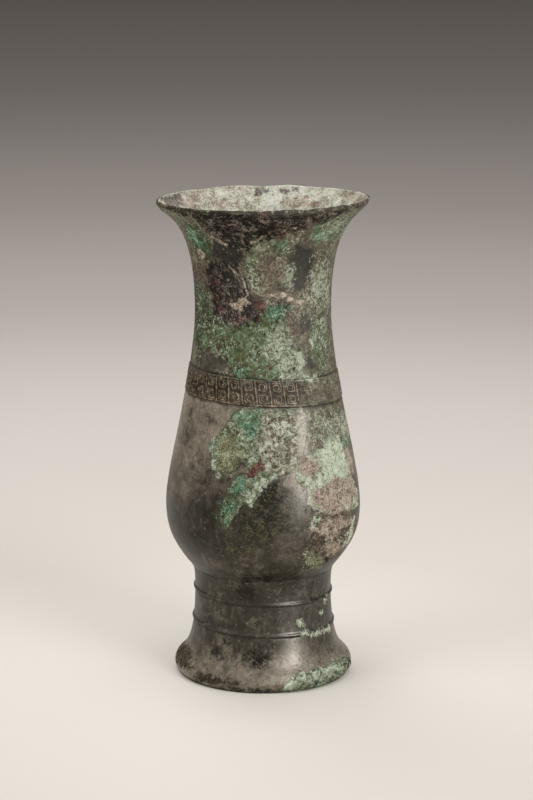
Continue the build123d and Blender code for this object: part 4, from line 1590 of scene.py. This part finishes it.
def make_floor():
    """A wide pale floor with painted light: a bright pool round the vessel that lifts its shadow,
    darkening with distance as painted falloff.
    """
    mesh = bpy.data.meshes.new("floor")
    corners = [(-1, -1), (1, -1), (1, 1), (-1, 1)]
    mesh.from_pydata([(x * FLOOR_HALF, y * FLOOR_HALF, 0) for x, y in corners], [], [[0, 1, 2, 3]])
    floor = bpy.data.objects.new("floor", mesh)
    bpy.context.scene.collection.objects.link(floor)
    finish = Finish("floor")
    away = finish.add("ShaderNodeVectorMath", {0: finish.place}, operation="LENGTH").outputs["Value"]
    finish.colour = finish.ramp(finish.times(away, 1 / FLOOR_REACH), *FLOOR_LIGHT_STOPS)
    finish.roughness = 0.9
    mesh.materials.append(finish.done(0.1))


def make_lamp(name, place, width, height, power, gloss_only=False):
    """A soft rectangular lamp that faces the vessel."""
    lamp = bpy.data.lights.new(name, "AREA")
    lamp.shape = "RECTANGLE"
    lamp.size = width
    lamp.size_y = height
    lamp.energy = power
    holder = bpy.data.objects.new(name, lamp)
    bpy.context.scene.collection.objects.link(holder)
    holder.location = Vector(place)
    holder.rotation_euler = (LAMP_TARGET - Vector(place)).to_track_quat("-Z", "Y").to_euler()
    holder.visible_camera = False
    holder.visible_diffuse = not gloss_only


def make_world():
    """Soft even light from all round."""
    world = bpy.data.worlds.new("studio")
    world.use_nodes = True
    background = world.node_tree.nodes["Background"]
    background.inputs["Color"].default_value = WORLD_COLOUR
    background.inputs["Strength"].default_value = WORLD_STRENGTH
    bpy.context.scene.world = world


def make_camera():
    """The camera fitted to the photo."""
    camera = bpy.data.cameras.new("camera")
    camera.sensor_width = SENSOR_WIDTH
    camera.lens = FOCAL_PIXELS / PHOTO_HEIGHT * SENSOR_WIDTH
    camera.clip_end = CAMERA_REACH
    holder = bpy.data.objects.new("camera", camera)
    bpy.context.scene.collection.objects.link(holder)
    holder.location = [value * MM for value in CAMERA_PLACE]
    holder.rotation_euler = (pi / 2 - CAMERA_PITCH, 0, 0)
    bpy.context.scene.camera = holder


make_floor()
make_lamp("softbox", (0.8, -0.95, 0.75), 0.5, 1.0, 6)
make_lamp("strip", (0.80, -0.75, 0.62), 0.22, 1.3, 62, gloss_only=True)
make_lamp("overhead", (0.0, 0.0, 1.6), 1.8, 1.8, 16)
make_lamp("fill", (-1.2, -0.6, 0.75), 0.8, 0.8, 5)
make_lamp("rear", (-0.5, 1.1, 2.0), 1.0, 1.0, 8)
make_world()
make_camera()
bpy.context.scene.view_settings.view_transform = "Standard"
